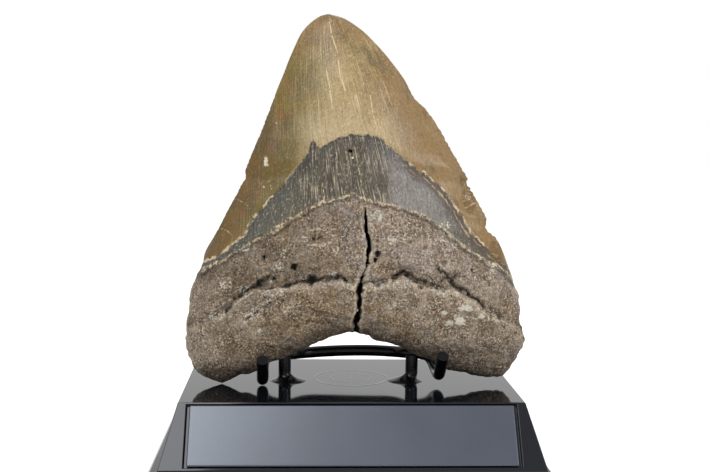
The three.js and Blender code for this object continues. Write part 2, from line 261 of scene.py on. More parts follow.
@dataclass
class Studio:
    """The view, the pale floor and the soft light."""

    place: Point = (-16.2, -373.2, 109.6)
    yaw: float = math.radians(2.69)
    pitch: float = math.radians(5.32)
    roll: float = math.radians(0.65)
    focal_pixels: float = 1139.7
    photo_width: int = 708
    sensor: float = 36.0
    floor_size: float = 6.0
    floor_glow: float = 0.12
    sky: float = 1.0
    key_power: float = 10.2
    side_power: float = 4.2

    def add_camera(self) -> None:
        """Makes the camera at the photograph's viewing angle."""
        forward = Vector((math.sin(self.yaw) * math.cos(self.pitch),
                          math.cos(self.yaw) * math.cos(self.pitch), -math.sin(self.pitch)))
        level_right = Vector((math.cos(self.yaw), -math.sin(self.yaw), 0))
        level_up = level_right.cross(forward)
        right = math.cos(self.roll) * level_right + math.sin(self.roll) * level_up
        up = -math.sin(self.roll) * level_right + math.cos(self.roll) * level_up
        bpy.ops.object.camera_add()
        camera = bpy.context.object
        camera.data.sensor_width = self.sensor
        camera.data.lens = self.focal_pixels / self.photo_width * self.sensor
        camera.data.clip_start = 0.01
        turn = Matrix((right, up, -forward)).transposed()
        camera.matrix_world = Matrix.Translation(Vector(self.place) * MM) @ turn.to_4x4()
        bpy.context.scene.camera = camera

    def add_floor(self) -> None:
        """Makes the pale floor."""
        bpy.ops.mesh.primitive_plane_add(size=self.floor_size, location=(0, 0, 0))
        floor = bpy.context.object
        floor.name = "studio_floor"
        paint = Recipe("studio_floor_paint", roughness=0.9)
        paint.plain_colour(srgb(246, 246, 246))
        paint.shader.inputs["Emission Color"].default_value = (1, 1, 1, 1)
        paint.shader.inputs["Emission Strength"].default_value = self.floor_glow
        floor.data.materials.append(paint.material)

    def add_light(self, name: str, place: Point, size: Point, power: float) -> None:
        """Adds a soft light that looks at the tooth's middle; its size is its width and height."""
        bpy.ops.object.light_add(type="AREA", location=place)
        lamp = bpy.context.object
        lamp.name = name
        lamp.data.shape = "RECTANGLE"
        lamp.data.size, lamp.data.size_y = size
        lamp.data.energy = power
        aim = Vector((0, 0, 0.08)) - Vector(place)
        lamp.rotation_euler = aim.to_track_quat("-Z", "Y").to_euler()

    def set_up(self) -> None:
        """Builds the whole studio."""
        deselect_all()
        self.add_camera()
        self.add_floor()
        self.add_light("key_light", (-0.4, -0.66, 0.86), (0.5, 0.8), self.key_power)
        self.add_light("side_light", (0.68, -0.46, 0.42), (0.35, 0.35), self.side_power)
        world = bpy.data.worlds.new("white_studio")
        world.use_nodes = True
        sky = world.node_tree.nodes["Background"]
        sky.inputs["Color"].default_value = (1, 1, 1, 1)
        sky.inputs["Strength"].default_value = self.sky
        bpy.context.scene.world = world
        bpy.context.scene.view_settings.view_transform = "Standard"


# Procedural finishes

class Recipe:
    """Builds one procedural material, step by step. Lengths on its surfaces are in millimetres."""

    def __init__(self, name: str, roughness: float = 0.5, specular: float = 0.5) -> None:
        self.material = bpy.data.materials.new(name)
        self.material.use_nodes = True
        self.tree = self.material.node_tree
        self.shader = self.tree.nodes["Principled BSDF"]
        self.shader.inputs["Roughness"].default_value = roughness
        self.shader.inputs["Specular IOR Level"].default_value = specular
        self.places = None

    def add(self, kind: str, **settings: object) -> bpy.types.Node:
        """Adds a node with its settings."""
        node = self.tree.nodes.new(kind)
        for name, value in settings.items():
            setattr(node, name, value)
        return node

    def feed(self, socket: bpy.types.NodeSocket, value: object) -> None:
        """Links a socket, or sets a plain value on it."""
        if isinstance(value, bpy.types.NodeSocket):
            self.tree.links.new(value, socket)
        else:
            socket.default_value = value

    def plain_colour(self, colour: Point) -> None:
        """Gives the whole surface one colour."""
        self.shader.inputs["Base Color"].default_value = colour

    def position(self) -> bpy.types.NodeSocket:
        """Places on the object in millimetres."""
        if self.places is None:
            coordinates = self.add("ShaderNodeTexCoord")
            scale = self.add("ShaderNodeVectorMath", operation="SCALE")
            self.feed(scale.inputs[0], coordinates.outputs["Object"])
            scale.inputs["Scale"].default_value = 1 / MM
            self.places = scale.outputs[0]
        return self.places

    def stretched(self, sizes: Point, turn: float = 0.0) -> bpy.types.NodeSocket:
        """Places divided by a size along each axis, after a turn about Y in degrees."""
        mapping = self.add("ShaderNodeMapping")
        self.feed(mapping.inputs["Vector"], self.position())
        mapping.inputs["Rotation"].default_value = (0, math.radians(turn), 0)
        mapping.inputs["Scale"].default_value = tuple(1 / size for size in sizes)
        return mapping.outputs[0]

    def axis(self, name: str) -> bpy.types.NodeSocket:
        """One coordinate in millimetres."""
        split = self.add("ShaderNodeSeparateXYZ")
        self.feed(split.inputs[0], self.position())
        return split.outputs[name]

    def attribute(self, name: str) -> bpy.types.NodeSocket:
        """A value that the mesh carries."""
        return self.add("ShaderNodeAttribute", attribute_name=name).outputs["Fac"]

    def cloud(self, sizes: Point, detail: float = 2.0, rough: float = 0.5, turn: float = 0.0,
              twist: float = 0.0) -> bpy.types.NodeSocket:
        """Noise from 0 to 1 whose features have the sizes given."""
        texture = self.add("ShaderNodeTexNoise")
        self.feed(texture.inputs["Vector"], self.stretched(sizes, turn))
        texture.inputs["Scale"].default_value = 1.0
        texture.inputs["Detail"].default_value = detail
        texture.inputs["Roughness"].default_value = rough
        texture.inputs["Distortion"].default_value = twist
        return texture.outputs["Fac"]

    def threads(self, width: float, length: float, detail: float = 2.0, rough: float = 0.5,
                twist: float = 0.0) -> bpy.types.NodeSocket:
        """Noise from 0 to 1 drawn out along the tooth's growth lines, which draw together at the tip."""
        join = self.add("ShaderNodeCombineXYZ")
        self.feed(join.inputs[0], self.sum("DIVIDE", self.attribute("fan"), width))
        self.feed(join.inputs[2], self.sum("DIVIDE", self.axis("Z"), length))
        texture = self.add("ShaderNodeTexNoise")
        self.feed(texture.inputs["Vector"], join.outputs[0])
        texture.inputs["Scale"].default_value = 1.0
        texture.inputs["Detail"].default_value = detail
        texture.inputs["Roughness"].default_value = rough
        texture.inputs["Distortion"].default_value = twist
        return texture.outputs["Fac"]

    def sum(self, operation: str, first: object, second: object = 0.0) -> bpy.types.NodeSocket:
        """A sum of two values: ADD, MULTIPLY, ABSOLUTE, MAXIMUM and so on."""
        node = self.add("ShaderNodeMath", operation=operation)
        self.feed(node.inputs[0], first)
        self.feed(node.inputs[1], second)
        return node.outputs[0]

    def product(self, *values: object) -> bpy.types.NodeSocket:
        """Several values multiplied."""
        total = values[0]
        for value in values[1:]:
            total = self.sum("MULTIPLY", total, value)
        return total

    def rise(self, value: bpy.types.NodeSocket, low: float, high: float) -> bpy.types.NodeSocket:
        """A smooth rise from 0 at low to 1 at high; it falls where high is below low."""
        node = self.add("ShaderNodeMapRange", interpolation_type="SMOOTHSTEP")
        self.feed(node.inputs["Value"], value)
        falls = high < low
        node.inputs["From Min"].default_value = min(low, high)
        node.inputs["From Max"].default_value = max(low, high)
        node.inputs["To Min"].default_value = 1.0 if falls else 0.0
        node.inputs["To Max"].default_value = 0.0 if falls else 1.0
        return node.outputs["Result"]

    def blend(self, part: object, first: object, second: object, mode: str = "MIX") -> bpy.types.NodeSocket:
        """Two colours mixed; part 0 gives the first."""
        node = self.add("ShaderNodeMix", data_type="RGBA", blend_type=mode)
        self.feed(node.inputs[0], part)
        self.feed(node.inputs[6], first)
        self.feed(node.inputs[7], second)
        return node.outputs[2]

    def between(self, part: object, first: object, second: object) -> bpy.types.NodeSocket:
        """Two numbers mixed; part 0 gives the first."""
        node = self.add("ShaderNodeMix", data_type="FLOAT")
        self.feed(node.inputs[0], part)
        self.feed(node.inputs[2], first)
        self.feed(node.inputs[3], second)
        return node.outputs[0]

    def relief(self, height: bpy.types.NodeSocket, depth: float, strength: float = 1.0) -> None:
        """Bumps the surface by a height whose full range is depth millimetres."""
        node = self.add("ShaderNodeBump")
        self.feed(node.inputs["Height"], height)
        node.inputs["Distance"].default_value = depth * MM
        node.inputs["Strength"].default_value = strength
        self.feed(self.shader.inputs["Normal"], node.outputs["Normal"])

    def finish(self, colour: object, roughness: object) -> bpy.types.Material:
        """Feeds the shader's colour and roughness."""
        self.feed(self.shader.inputs["Base Color"], colour)
        self.feed(self.shader.inputs["Roughness"], roughness)
        return self.material


@dataclass(frozen=True)
class FossilFinish:
    """Enamel, bourlette and root, told apart by the distances that the mesh carries."""

    olive: Point = srgb(76, 62, 14)
    upper_olive: Point = srgb(90, 75, 27)
    tan: Point = srgb(124, 107, 72)
    brown_tan: Point = srgb(103, 79, 46)
    amber: Point = srgb(76, 55, 20)
    scorch: Point = srgb(88, 54, 14)
    deep_olive: Point = srgb(56, 46, 20)
    pale_tan_and_highlight: Point = srgb(136, 120, 90)
    cream: Point = srgb(176, 160, 128)
    slate: Point = srgb(60, 56, 41)
    light_slate: Point = srgb(101, 97, 93)
    dark_slate: Point = srgb(40, 40, 37)
    blue_slate: Point = srgb(58, 64, 60)
    root_brown: Point = srgb(92, 77, 62)
    root_grey: Point = srgb(113, 102, 93)
    root_gold: Point = srgb(110, 88, 58)
    deep_brown_and_shade: Point = srgb(66, 50, 36)
    speck_dark: Point = srgb(32, 25, 20)
    pale_speck_and_highlight: Point = srgb(166, 151, 136)
    warm_tint: Point = (1.0, 0.965, 0.85, 1.0)
    thread_pale: Point = srgb(176, 160, 136)
    chalk: Point = srgb(196, 192, 178)
    shadow: Point = srgb(9, 7, 6)
    painted_hollow_shade: Point = srgb(40, 30, 23)
    rust: Point = srgb(52, 30, 22)

    def enamel(self, mix: Recipe, above: object, rim: object, across: object,
               up: object) -> bpy.types.NodeSocket:
        """The crown's colour: olive at the left, tan in the middle, browner at the right, finely streaked."""
        wander = mix.product(mix.sum("SUBTRACT", mix.cloud((12, 12, 26), 3), 0.5), 18.0)
        place = mix.sum("ADD", across, wander)
        olive = mix.blend(mix.rise(up, 100, 122), self.olive, self.upper_olive)
        colour = mix.blend(mix.rise(place, -18, -2), olive, self.tan)
        browner = mix.sum("MAXIMUM", mix.rise(place, -1, 11), mix.rise(up, 128, 144))
        colour = mix.blend(mix.product(browner, 0.9), colour, self.brown_tan)
        edge = mix.sum("ADD", rim, mix.product(wander, 0.35))
        left_edge = mix.product(mix.rise(across, -8, -17), mix.rise(edge, 8, 3), mix.rise(up, 118, 106))
        colour = mix.blend(mix.product(left_edge, 0.8), colour, self.amber)
        scorched = mix.product(mix.rise(mix.cloud((4, 4, 7), 4, 0.6), 0.48, 0.6), mix.rise(across, -14, -22),
                               mix.rise(edge, 14, 6))
        colour = mix.blend(mix.product(scorched, 0.55), colour, self.scorch)
        patches = mix.product(mix.rise(mix.cloud((7, 7, 12), 5, 0.6, turn=-18), 0.46, 0.66), mix.rise(edge, 18, 5))
        colour = mix.blend(mix.product(patches, 0.6), colour, self.deep_olive)
        # Painted highlight: paler near the middle of the enamel's lower edge.
        low_middle_highlight = mix.product(mix.rise(above, 15, 1), mix.rise(mix.sum("ABSOLUTE", across), 20, 9))
        colour = mix.blend(mix.product(low_middle_highlight, 0.85), colour, self.pale_tan_and_highlight)
        fine = mix.threads(0.55, 10, 3, 0.6, twist=0.25)
        central = mix.rise(mix.sum("ABSOLUTE", across), 24, 8)
        colour = mix.blend(mix.product(mix.rise(fine, 0.52, 0.3), mix.between(central, 0.18, 0.36)), colour,
                           self.deep_olive)
        colour = mix.blend(mix.product(mix.rise(fine, 0.54, 0.74), mix.between(central, 0.06, 0.26)), colour,
                           self.cream)
        film = mix.cloud((0.8, 0.8, 1.0), 4, 0.75)
        colour = mix.blend(mix.product(mix.rise(film, 0.5, 0.3), 0.42), colour, self.deep_olive)
        colour = mix.blend(mix.product(mix.rise(film, 0.52, 0.72), mix.between(central, 0.12, 0.24)), colour,
                           self.cream)
        specks = mix.cloud((0.45, 0.45, 0.55), 2)
        colour = mix.blend(mix.product(mix.rise(specks, 0.56, 0.72), mix.between(central, 0.1, 0.3)), colour,
                           self.cream)
        colour = mix.blend(mix.product(mix.rise(specks, 0.44, 0.3), 0.25), colour, self.deep_olive)
        hairs = mix.product(mix.rise(mix.threads(0.5, 22, 1, twist=0.2), 0.62, 0.7),
                            mix.rise(mix.cloud((5, 5, 9)), 0.42, 0.56), central)
        return mix.blend(mix.product(hairs, 0.5), colour, self.cream)

    def bourlette(self, mix: Recipe, above: object, across: object) -> bpy.types.NodeSocket:
        """The dark band between crown and root, with dense upright streaks in its middle."""
        wander = mix.product(mix.sum("SUBTRACT", mix.cloud((6, 6, 12), 3), 0.5), 26.0)
        place = mix.sum("ADD", across, wander)
        light = mix.product(mix.rise(place, 2, 18), mix.rise(place, 44, 26))
        colour = mix.blend(light, self.slate, self.light_slate)
        blue = mix.product(mix.rise(place, -8, -22), mix.rise(above, -9, -3))
        colour = mix.blend(mix.product(blue, 0.3), colour, self.blue_slate)
        colour = mix.blend(mix.product(mix.rise(above, -4.5, -0.8), 0.65), colour, self.dark_slate)
        middle = mix.rise(mix.sum("ABSOLUTE", mix.sum("ADD", across, 2.0)), 19, 9)
        wide = mix.threads(1.5, 11, 3, 0.5, twist=0.15)
        colour = mix.blend(mix.product(mix.rise(wide, 0.54, 0.36), mix.between(middle, 0.12, 0.5)), colour,
                           self.speck_dark)
        threads = mix.threads(0.28, 8, 3, 0.55, twist=0.2)
        dark = mix.product(mix.rise(threads, 0.5, 0.36), mix.between(middle, 0.14, 0.7))
        colour = mix.blend(dark, colour, self.speck_dark)
        dense = mix.rise(mix.cloud((1.8, 5, 6), 3), 0.36, 0.62)
        pale = mix.product(mix.rise(threads, 0.52, 0.66), mix.between(middle, 0.1, 0.64), dense)
        colour = mix.blend(pale, colour, self.thread_pale)
        seams = mix.product(mix.rise(mix.threads(0.6, 16, 1, twist=0.15), 0.66, 0.71), middle)
        colour = mix.blend(mix.product(seams, 0.55), colour, self.pale_speck_and_highlight)
        grains = mix.cloud((0.6, 0.6, 1.0), 3, 0.7)
        colour = mix.blend(mix.product(mix.rise(grains, 0.5, 0.34), 0.45), colour, self.speck_dark)
        return mix.blend(mix.product(mix.rise(grains, 0.55, 0.68), 0.4), colour, self.pale_speck_and_highlight)

    def root(self, mix: Recipe, low: object, rim: object, across: object, up: object) -> bpy.types.NodeSocket:
        """The root's colour: grainy brown-grey, darker at the left, with painted shade towards the lobes' tips and
        along the rim.
        """
        colour = mix.blend(mix.rise(mix.cloud((11, 11, 11), 4), 0.38, 0.6), self.root_brown, self.root_grey)
        gold = mix.product(mix.rise(mix.sum("ABSOLUTE", mix.sum("ADD", across, 6)), 34, 12),
                           mix.rise(mix.cloud((6, 6, 6), 4), 0.42, 0.6))
        colour = mix.blend(mix.product(gold, 0.7), colour, self.root_gold)
        # Painted shade: darker towards the lobes' bottoms, where the root turns away from the light.
        level = mix.sum("SUBTRACT", up, mix.product(mix.rise(across, 0, 30), 6.0))
        foot = mix.rise(mix.sum("ADD", mix.rise(level, 40, 28), mix.product(mix.cloud((8, 8, 8), 3), 0.5)), 0.4, 1.2)
        colour = mix.blend(mix.product(foot, 0.6), colour, self.deep_brown_and_shade)
        # Painted shade along the rim, where the root's edge curves away from the light.
        brink = mix.product(mix.rise(rim, 6.5, 0.3), mix.rise(mix.sum("ABSOLUTE", across), 52, 42))
        colour = mix.blend(mix.product(brink, 0.6), colour, self.deep_brown_and_shade)
        mottle = mix.cloud((4.2, 4.2, 4.2), 6, 0.72)
        colour = mix.blend(mix.product(mix.rise(mottle, 0.5, 0.24), 0.45), colour, self.speck_dark)
        colour = mix.blend(mix.product(mix.rise(mottle, 0.48, 0.76), 0.7), colour, self.pale_speck_and_highlight)
        patchy = mix.between(mix.rise(mix.cloud((5, 5, 5), 3), 0.36, 0.64), 0.45, 1.0)
        coarse = mix.cloud((1.5, 1.5, 1.5), 4, 0.75)
        colour = mix.blend(mix.product(mix.rise(coarse, 0.47, 0.34), 0.4), colour, self.speck_dark)
        colour = mix.blend(mix.product(mix.rise(coarse, 0.52, 0.66), 0.5), colour, self.pale_speck_and_highlight)
        grains = mix.cloud((0.7, 0.7, 0.7), 2, 0.7)
        colour = mix.blend(mix.product(mix.rise(grains, 0.46, 0.36), patchy, 0.85), colour, self.speck_dark)
        colour = mix.blend(mix.product(mix.rise(grains, 0.53, 0.64), patchy, 0.9), colour, self.pale_speck_and_highlight)
        # Painted highlight on raised bumps and painted shade in hollows, read from the mesh's cavity values.
        cavity = mix.attribute("cavity")
        colour = mix.blend(mix.product(mix.rise(cavity, 0.1, 0.6), 0.4), colour, self.pale_speck_and_highlight)
        colour = mix.blend(mix.product(mix.rise(cavity, -0.12, -0.9), 0.7), colour, self.painted_hollow_shade)
        ribs = mix.product(mix.rise(mix.attribute("ribs"), 0.06, 0.15), mix.rise(grains, 0.4, 0.55))
        colour = mix.blend(mix.product(ribs, 0.5), colour, self.pale_speck_and_highlight)
        glints = mix.product(mix.rise(mix.cloud((0.5, 0.5, 0.5), 1), 0.63, 0.7), mix.between(patchy, 0.2, 0.75))
        colour = mix.blend(glints, colour, self.chalk)
        streaks = mix.product(mix.rise(mix.threads(0.6, 12, 3, twist=0.2), 0.56, 0.64), mix.rise(low, -19, -2),
                              mix.rise(mix.cloud((6, 6, 6)), 0.4, 0.54))
        colour = mix.blend(mix.product(streaks, 0.55), colour, self.pale_speck_and_highlight)
        # Scales the colour darker at the left and brighter at the right, and deepens the painted shade at the lobes'
        # bottoms and along the rim.
        side = mix.sum("ADD", across, mix.product(mix.sum("SUBTRACT", mix.cloud((14, 14, 14), 3), 0.5), 30.0))
        left = mix.between(mix.rise(up, 52, 68), 1.18, 0.8)
        shade = mix.between(mix.rise(side, -34, 24), left, 1.28)
        shade = mix.product(shade, mix.between(foot, 1.0, 0.66), mix.between(brink, 1.0, 0.62))
        tint = mix.add("ShaderNodeVectorMath", operation="SCALE")
        mix.feed(tint.inputs[0], colour)
        mix.feed(tint.inputs["Scale"], shade)
        warm = mix.sum("MAXIMUM", mix.product(mix.rise(up, 66, 58), 0.85), mix.rise(side, 0, -20))
        return mix.blend(mix.product(warm, 0.9), tint.outputs[0], self.warm_tint, "MULTIPLY")

    def borders(self, mix: Recipe, colour: object, above: object, low: object,
                across: object) -> bpy.types.NodeSocket:
        """Adds the pale lines along the enamel's edge and the beads along the bourlette's lower edge."""
        ragged = mix.product(mix.sum("SUBTRACT", mix.cloud((1.6, 1.6, 1.6), 3), 0.5), 2.0)
        edge = mix.sum("ADD", above, ragged)
        broken = mix.rise(mix.cloud((3.5, 3.5, 3.5), 3), 0.4, 0.54)
        left = mix.product(mix.rise(mix.sum("ABSOLUTE", edge), 0.5, 0.2), mix.rise(across, -15, -24), broken)
        colour = mix.blend(mix.product(left, 0.7), colour, self.cream)
        right = mix.rise(across, 15, 20)
        band = mix.product(mix.rise(edge, -3.4, -2.2), mix.rise(edge, -0.2, -0.6), right)
        colour = mix.blend(mix.product(band, 0.55), colour, self.deep_brown_and_shade)
        lines = mix.sum("MAXIMUM", mix.rise(mix.sum("ABSOLUTE", edge), 0.36, 0.12),
                        mix.product(mix.rise(mix.sum("ABSOLUTE", mix.sum("ADD", edge, 1.5)), 0.3, 0.08), 0.6))
        colour = mix.blend(mix.product(lines, right, broken, 0.75), colour, self.cream)
        wavy = mix.sum("ADD", low, mix.product(mix.sum("SUBTRACT", mix.cloud((3, 3, 3), 2), 0.5), 3.4))
        under = mix.rise(mix.sum("ABSOLUTE", mix.sum("ADD", wavy, 0.9)), 0.9, 0.2)
        colour = mix.blend(mix.product(under, 0.55), colour, self.speck_dark)
        beads = mix.product(mix.rise(mix.sum("ABSOLUTE", wavy), 0.75, 0.25),
                            mix.rise(mix.cloud((0.7, 0.7, 0.9), 2), 0.46, 0.55),
                            mix.rise(mix.cloud((3.5, 3.5, 3.5), 3), 0.36, 0.5))
        return mix.blend(mix.product(beads, 0.85), colour, self.cream)

    def marks(self, mix: Recipe, colour: object) -> bpy.types.NodeSocket:
        """Adds chips, chalky patches, rust, painted shade above the fissures and painted shadow in cracks, fissures
        and pits, as the mesh marks them.
        """
        speckle = mix.cloud((0.8, 0.8, 0.8), 3)
        chip = mix.attribute("chip")
        chipped = mix.blend(mix.rise(mix.cloud((2.2, 2.2, 0.5), 3, turn=25), 0.56, 0.68), self.amber, self.pale_tan_and_highlight)
        colour = mix.blend(mix.product(mix.rise(chip, 0.2, 0.6), 0.75), colour, chipped)
        chalk = mix.sum("ADD", mix.attribute("chalk"), mix.product(mix.sum("SUBTRACT", speckle, 0.5), 1.8))
        faint = mix.between(mix.rise(mix.attribute("enamel"), -0.5, 0.5), 0.88, 0.55)
        colour = mix.blend(mix.product(mix.rise(chalk, 0.1, 0.5), faint), colour, self.chalk)
        vein = mix.sum("ADD", mix.attribute("vein"), mix.sum("SUBTRACT", speckle, 0.5))
        kept = mix.rise(mix.cloud((2, 2, 2), 2), 0.34, 0.48)
        colour = mix.blend(mix.product(mix.rise(vein, 0.4, 0.8), kept, 0.55), colour, self.cream)
        rusted = mix.attribute("rust")
        halo = mix.product(mix.rise(rusted, -1.1, -0.5), mix.rise(rusted, 0.1, -0.2), mix.rise(speckle, 0.4, 0.5))
        colour = mix.blend(mix.product(halo, 0.5), colour, self.root_gold)
        rust = mix.product(mix.rise(rusted, 0.0, 0.4), mix.rise(speckle, 0.42, 0.54))
        colour = mix.blend(mix.product(rust, 0.8), colour, self.rust)
        # Painted shade above the fissures.
        shade = mix.sum("ADD", mix.attribute("shade"), mix.product(mix.sum("SUBTRACT", speckle, 0.5), 0.9))
        colour = mix.blend(mix.product(mix.rise(shade, 0.25, 1.1), 0.55), colour, self.painted_hollow_shade)
        crust = mix.product(mix.rise(mix.attribute("crust"), 0.2, 0.8), mix.rise(speckle, 0.5, 0.58))
        colour = mix.blend(mix.product(crust, 0.7), colour, self.chalk)
        # Painted shadow in cracks, fissures and pits.
        gap = mix.sum("ADD", mix.attribute("gap"), mix.product(mix.sum("SUBTRACT", speckle, 0.5), 0.9))
        return mix.blend(mix.rise(gap, 0.1, 0.9), colour, self.shadow)

    def make(self) -> bpy.types.Material:
        """Builds the material."""
        mix = Recipe("fossil_enamel_and_root", specular=0.3)
        above, low, rim = (mix.attribute(name) for name in ("enamel", "bourlette", "rim"))
        across, up = mix.axis("X"), mix.axis("Z")
        ragged = mix.product(mix.sum("SUBTRACT", mix.cloud((1.6, 1.6, 1.6), 3), 0.5), 2.0)
        crown = mix.rise(mix.sum("ADD", above, ragged), -0.3, 0.3)
        rootward = mix.rise(mix.sum("ADD", low, mix.product(ragged, 1.4)), 0.9, -0.9)
        colour = mix.blend(rootward, self.bourlette(mix, above, across), self.root(mix, low, rim, across, up))
        colour = mix.blend(crown, colour, self.enamel(mix, above, rim, across, up))
        colour = self.borders(mix, colour, above, low, across)
        colour = self.marks(mix, colour)
        streaks = mix.product(mix.cloud((0.5, 40, 12), 3, 0.6), mix.between(crown, 0.7, 0.16))
        grains = mix.product(mix.cloud((0.9, 0.9, 0.9), 4, 0.8), rootward, 1.7)
        mix.relief(mix.sum("ADD", streaks, grains), 1.0)
        roughness = mix.between(crown, mix.between(rootward, 0.44, 0.47), 0.34)
        return mix.finish(colour, roughness)


@dataclass(frozen=True)
class BlackFinish:
    """Black paint or plastic with a faint unevenness and dust."""

    name: str
    colour: Point
    dust: Point
    roughness: float
    spread: float
    dust_share: float
    grain_size: float = 6.0
    relief: float = 0.0
    specular: float = 0.5
    shine_tint: Point = (1.0, 1.0, 1.0, 1.0)
    ring_centre: Point = ()
    ring_radii: Point = (6.6, 12.2)

    def rings(self, mix: Recipe) -> bpy.types.NodeSocket:
        """The height of the mould's round marks on the top."""
        x = mix.sum("SUBTRACT", mix.axis("X"), self.ring_centre[0])
        y = mix.sum("SUBTRACT", mix.axis("Y"), self.ring_centre[1])
        square = mix.sum("ADD", mix.product(x, x), mix.product(y, y))
        radius = mix.sum("SQRT", square)
        height = mix.rise(radius, 0.7, 0.2)
        for size, width in zip(self.ring_radii, (0.3, 0.5)):
            away = mix.sum("ABSOLUTE", mix.sum("SUBTRACT", radius, size))
            height = mix.sum("MAXIMUM", height, mix.rise(away, width, 0.0))
        return height

    def make(self) -> bpy.types.Material:
        """Builds the material."""
        mix = Recipe(self.name, specular=self.specular)
        mix.shader.inputs["Specular Tint"].default_value = self.shine_tint
        wide = mix.cloud((self.grain_size,) * 3, 3)
        motes = mix.rise(mix.cloud((0.5, 0.5, 0.5), 1), 0.74, 0.8)
        colour = mix.blend(mix.product(wide, self.dust_share), self.colour, self.dust)
        colour = mix.blend(mix.product(motes, self.dust_share, 4.0), colour, self.dust)
        roughness = mix.between(wide, self.roughness, self.roughness + self.spread)
        if self.ring_centre:
            mix.relief(self.rings(mix), 0.07)
        elif self.relief:
            mix.relief(mix.cloud((0.35, 0.35, 0.35), 3), self.relief)
        return mix.finish(colour, roughness)


# The tooth

LEFT_EDGE: Line = [
    (-41.3, 0.3), (-45.9, 1.7), (-49.4, 4.0), (-51.6, 7.2), (-52.9, 11.2), (-53.2, 14.4), (-52.9, 19.2),
    (-52.3, 24.2), (-51.6, 29.8), (-49.7, 34.6), (-48.2, 38.7), (-47.1, 42.9), (-44.7, 47.1),
    (-42.4, 51.2), (-40.6, 54.8), (-39.3, 57.4), (-37.3, 61.0), (-35.5, 64.5), (-34.0, 67.3),
    (-34.2, 69.0), (-33.1, 72.3), (-31.2, 77.0), (-28.6, 83.4), (-25.8, 90.9), (-23.9, 96.2),
    (-21.9, 101.4), (-20.5, 105.1), (-18.3, 110.2), (-16.0, 114.7), (-12.7, 118.1), (-10.2, 119.7),
    (-7.8, 120.4),
]
RIGHT_EDGE: Line = [
    (48.0, 2.3), (50.4, 2.5), (52.7, 5.1), (55.4, 8.9), (57.2, 13.0), (57.6, 16.5), (55.9, 21.2),
    (56.0, 25.3), (55.3, 29.4), (54.0, 33.7), (52.0, 38.6), (50.4, 43.1), (47.4, 48.2), (44.8, 50.4),
    (44.2, 51.8), (44.5, 53.7), (42.8, 57.5), (40.7, 61.0), (38.8, 64.3), (37.8, 65.4), (38.1, 66.7),
    (35.9, 71.0), (32.0, 77.7), (28.0, 84.3), (24.2, 89.8), (20.7, 93.2), (17.2, 99.4), (13.3, 104.7),
    (8.5, 110.3), (2.7, 115.7), (-3.2, 119.2), (-7.8, 120.4),
]
LEFT_ARCH: Line = [
    (-41.3, 0.3), (-38.9, 1.2), (-35.2, 2.9), (-33.2, 2.9), (-30.3, 4.0), (-26.1, 6.7), (-20.2, 8.9),
    (-13.8, 12.2), (-8.3, 14.5), (-4.2, 16.1), (-0.1, 16.6), (2.4, 16.6),
]
RIGHT_ARCH: Line = [
    (48.0, 2.3), (45.3, 2.1), (42.0, 2.6), (37.0, 3.8), (32.2, 4.6), (28.1, 7.1), (22.8, 9.5),
    (18.8, 10.9), (14.4, 12.8), (8.6, 14.4), (5.9, 15.9), (2.4, 16.6),
]
CRACK: Line = [
    (2.4, 16.6, 0.8), (1.7, 20.3, 0.75), (2.2, 24.3, 0.7), (2.6, 28.4, 0.7), (2.8, 32.4, 0.85),
    (3.3, 35.6, 0.65), (4.5, 38.9, 0.6), (5.2, 42.9, 0.55), (5.4, 46.5, 0.42), (4.9, 49.8, 0.3),
    (4.4, 53.8, 0.2), (4.2, 57.4, 0.1),
]
ABOVE_CRACK: Line = [(3.3, 63.0), (0.9, 76.0), (-2.1, 92.5), (-5.1, 108.7), (-7.8, 120.4)]
FISSURES: list[Line] = [
    [(-40.0, 24.0, 0.12), (-38.1, 26.9, 0.2), (-36.2, 28.5, 0.25), (-33.6, 30.5, 0.3), (-31.0, 31.8, 0.45),
     (-29.1, 33.1, 0.75), (-27.5, 34.7, 0.45), (-25.6, 36.6, 0.25)],
    [(-28.4, 31.2, 0.2), (-25.2, 31.5, 0.25), (-22.0, 32.2, 0.3), (-19.4, 32.8, 0.35), (-16.2, 33.8, 0.6),
     (-12.3, 34.0, 1.1), (-7.8, 34.5, 0.5), (-3.6, 35.5, 0.4), (-1.2, 33.9, 0.5), (3.1, 33.2, 0.55)],
    [(3.1, 33.2, 0.7), (4.5, 33.9, 0.6), (8.6, 33.5, 0.6), (12.6, 34.8, 0.7), (15.1, 36.0, 1.0),
     (16.7, 36.6, 0.9), (19.1, 35.2, 1.0), (22.4, 33.4, 0.8), (25.7, 32.4, 0.7), (29.8, 31.6, 0.6),
     (33.1, 31.2, 0.3)],
    [(27.3, 38.5, 0.4), (28.9, 36.7, 1.1), (31.4, 34.9, 1.1), (33.0, 32.8, 1.0), (36.3, 31.2, 0.9),
     (39.6, 28.4, 1.0), (42.5, 25.6, 0.9), (45.4, 23.9, 0.8), (49.5, 21.7, 0.4)],
    [(-33.5, 21.4, 0.15), (-31.6, 23.1, 0.3), (-29.3, 24.7, 0.2), (-26.8, 25.5, 0.3), (-24.8, 27.6, 0.15)],
]
LEDGE: Line = [
    (-70, 10), (-40.0, 24.0), (-33.6, 30.5), (-25.2, 31.5), (-12.3, 33.6), (-3.6, 34.5), (3.1, 33.2),
    (12.6, 34.8), (16.7, 36.6), (22.4, 33.4), (33.1, 31.2), (42.5, 25.6), (49.5, 21.7), (70, 10),
]
PITS: Line = [
    (-12.3, 34.0, 2.2, 2.4), (-17.9, 38.6, 0.9, 1.3), (-27.6, 41.6, 0.9, 1.1), (-29.1, 33.0, 1.2, 1.2),
    (-24.5, 34.9, 0.7, 0.7), (8.1, 42.7, 0.8, 0.9), (7.5, 41.3, 0.6, 0.6), (-0.6, 75.3, 1.0, 0.6),
    (38.6, 37.6, 0.5, 0.5), (17.5, 36.0, 1.6, 0.9),
]
